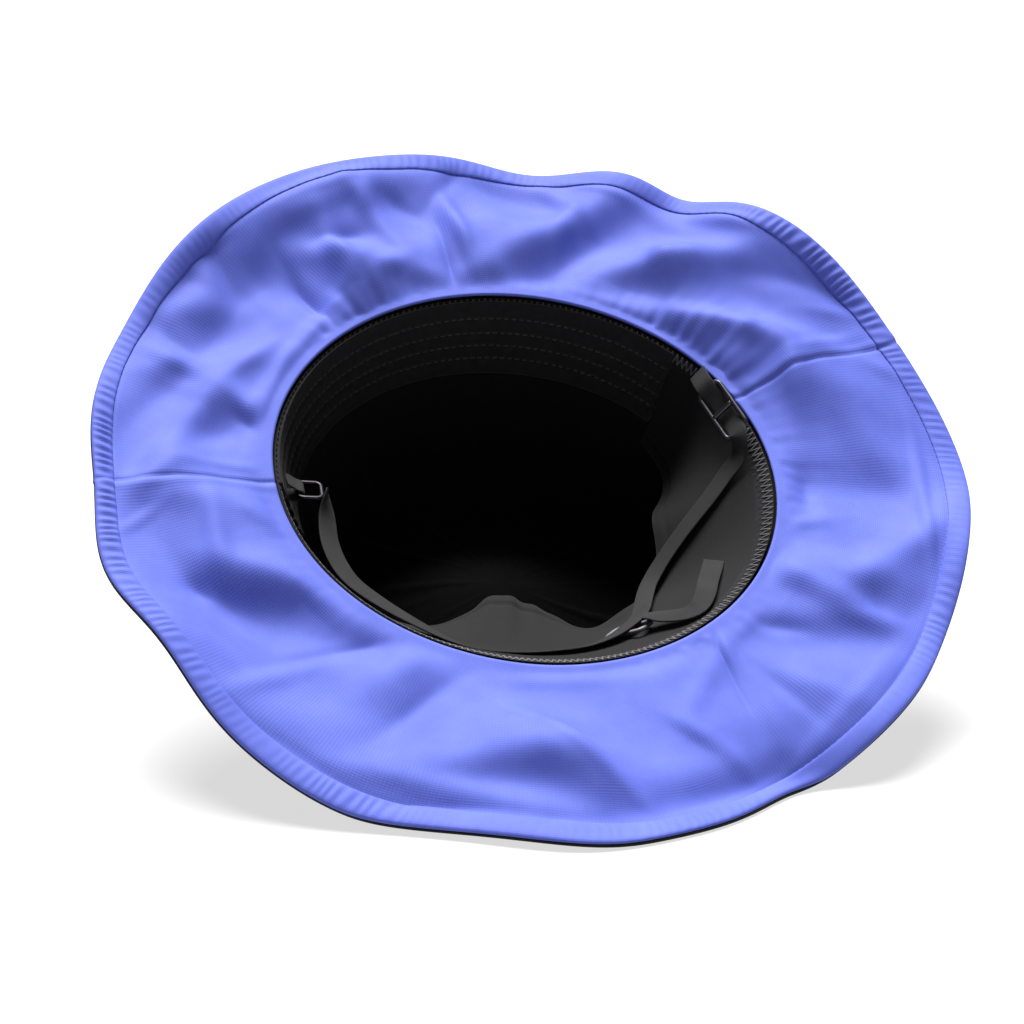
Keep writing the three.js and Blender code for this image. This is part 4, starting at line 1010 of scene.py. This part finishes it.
def back_relief(angle, along):
    """A hem at the free edge, stitched five millimetres in, and slack waves round the band."""
    turn = np.radians(angle)
    slack = 0.5 * np.sin(turn * 13 + 0.3) + 0.45 * np.sin(turn * 31) * bump_at(degrees_between(angle, 258), 22)
    return 0.5 * np.clip((along - 45.5) / 1.0, 0, 1) - 0.4 * bump_at(along - 45, 0.6) + slack * (along / 50) ** 2


band_black = poplin("black jersey band, brushed", "#0d0c0e", "#161417", yarn=0.8, strength=0.3)
sweatband_front = band_piece("sweatband_front_padded", 39.1, 179.9, 38, 1.8, 460, 60, front_relief)
sweatband_front.data.materials.append(band_black)
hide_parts("sweatband_front")
sweatband_back = band_piece("sweatband_back_hemmed", 180.1, 398.9, 50, 1.0, 560, 52, back_relief)
# The back band lies open to the light, so the same black jersey is given a darker colour here: painted shade
band_painted_shade = poplin("black jersey band, painted darker for shade", "#050505", "#0a090a", yarn=0.8, strength=0.3)
sweatband_back.data.materials.append(band_painted_shade)
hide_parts("sweatband_back")


def tape_relief(angle, along):
    """Overlock loops: a zigzag of thread over the tape's width."""
    zigzag = np.abs((np.radians(angle) * 92 / 2.6 % 1) * 2 - 1)
    return 0.3 * bump_at((along - 1.5) / 5 - zigzag, 0.16)


rim_tape = band_piece("rim_tape_overlocked", 0, 360 - 360 / 1000, 8, 1.0, 1000, 20, tape_relief)
rim_tape.data.materials.append(band_black)
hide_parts("rim_tape")


def band_line(first, last, along, away, pitch):
    fine = np.linspace(first, last, 2401)
    line = band_offset(fine, np.full_like(fine, along), np.full_like(fine, away))
    run = np.concatenate([[0], np.cumsum(np.linalg.norm(np.diff(line, axis=0), axis=-1))])
    count = int(run[-1] / pitch)
    at = np.interp((np.arange(count) + 0.5) * run[-1] / count, run, fine)
    here = band_offset(at, np.full_like(at, along), np.full_like(at, away))
    ahead = band_offset(at + 0.3, np.full_like(at, along), np.full_like(at, away))
    inside = band_offset(at, np.full_like(at, along), np.full_like(at, away - 1))
    return here, unit(ahead - here), unit(inside - here)


# Overlock: slanting loops of grey spun thread over the tape, one way and back
overlock_thread = spun_thread("grey polyester thread, spun", "#29272a", "#3d3a3f")
loop_at = (np.arange(230) + 0.5) * 360 / 230
for number, (first_along, last_along) in enumerate(((0.6, 5.2), (5.2, 0.6))):
    one = band_offset(loop_at + number * 0.78, np.full_like(loop_at, first_along), np.full_like(loop_at, -1.15))
    two = band_offset(loop_at + (number + 1) * 0.78, np.full_like(loop_at, last_along), np.full_like(loop_at, -1.15))
    inside = band_offset(loop_at, np.full_like(loop_at, 3.0), np.full_like(loop_at, -2.15))
    middle = (one + two) / 2
    stitch_row("rim_tape_overlock_%d" % number, middle, unit(two - one), unit(inside - middle), 5.4, 0.34,
               overlock_thread, ())
for number, row in enumerate(FRONT_BAND_ROWS):
    here, along, normal = band_line(40, 179, row, -1.65, STITCH_PITCH)
    stitch_row("front_band_stitches_%d" % number, here, along, normal, 2.2, 0.26, black_thread, ())

# ---------------------------------------------------------------------------
# Studio: a plain white floor, a large soft light over and behind the hat, and
# white surroundings.
# ---------------------------------------------------------------------------
FLOOR_SIZE = 12.0
floor_mesh = bpy.data.meshes.new("floor")
corner = FLOOR_SIZE
floor_mesh.from_pydata([(-corner, -corner, 0), (corner, -corner, 0), (corner, corner, 0), (-corner, corner, 0)], [], [(0, 1, 2, 3)])
floor = bpy.data.objects.new("floor", floor_mesh)
bpy.context.scene.collection.objects.link(floor)
floor_white, tree, shader = new_material("white paper, matt")
shader.inputs["Base Color"].default_value = linear("#7c7c7c")
shader.inputs["Roughness"].default_value = 0.9
shader.inputs["Emission Color"].default_value = linear("#ffffff")
shader.inputs["Emission Strength"].default_value = 0.68
floor.data.materials.append(floor_white)


LIGHT_FROM = Vector((-0.05, 0.28, 0.96))
light_data = bpy.data.lights.new("soft overhead light", "SUN")
light_data.energy = 10.9
light_data.angle = math.radians(40)
light = bpy.data.objects.new("soft overhead light", light_data)
light.rotation_mode = "QUATERNION"
light.rotation_quaternion = (-LIGHT_FROM).to_track_quat("-Z", "Y")
bpy.context.scene.collection.objects.link(light)
world = bpy.data.worlds.new("white room")
world.use_nodes = True
world.node_tree.nodes["Background"].inputs["Color"].default_value = (1, 1, 1, 1)
world.node_tree.nodes["Background"].inputs["Strength"].default_value = 0.12
bpy.context.scene.world = world
bpy.context.scene.view_settings.view_transform = "Standard"
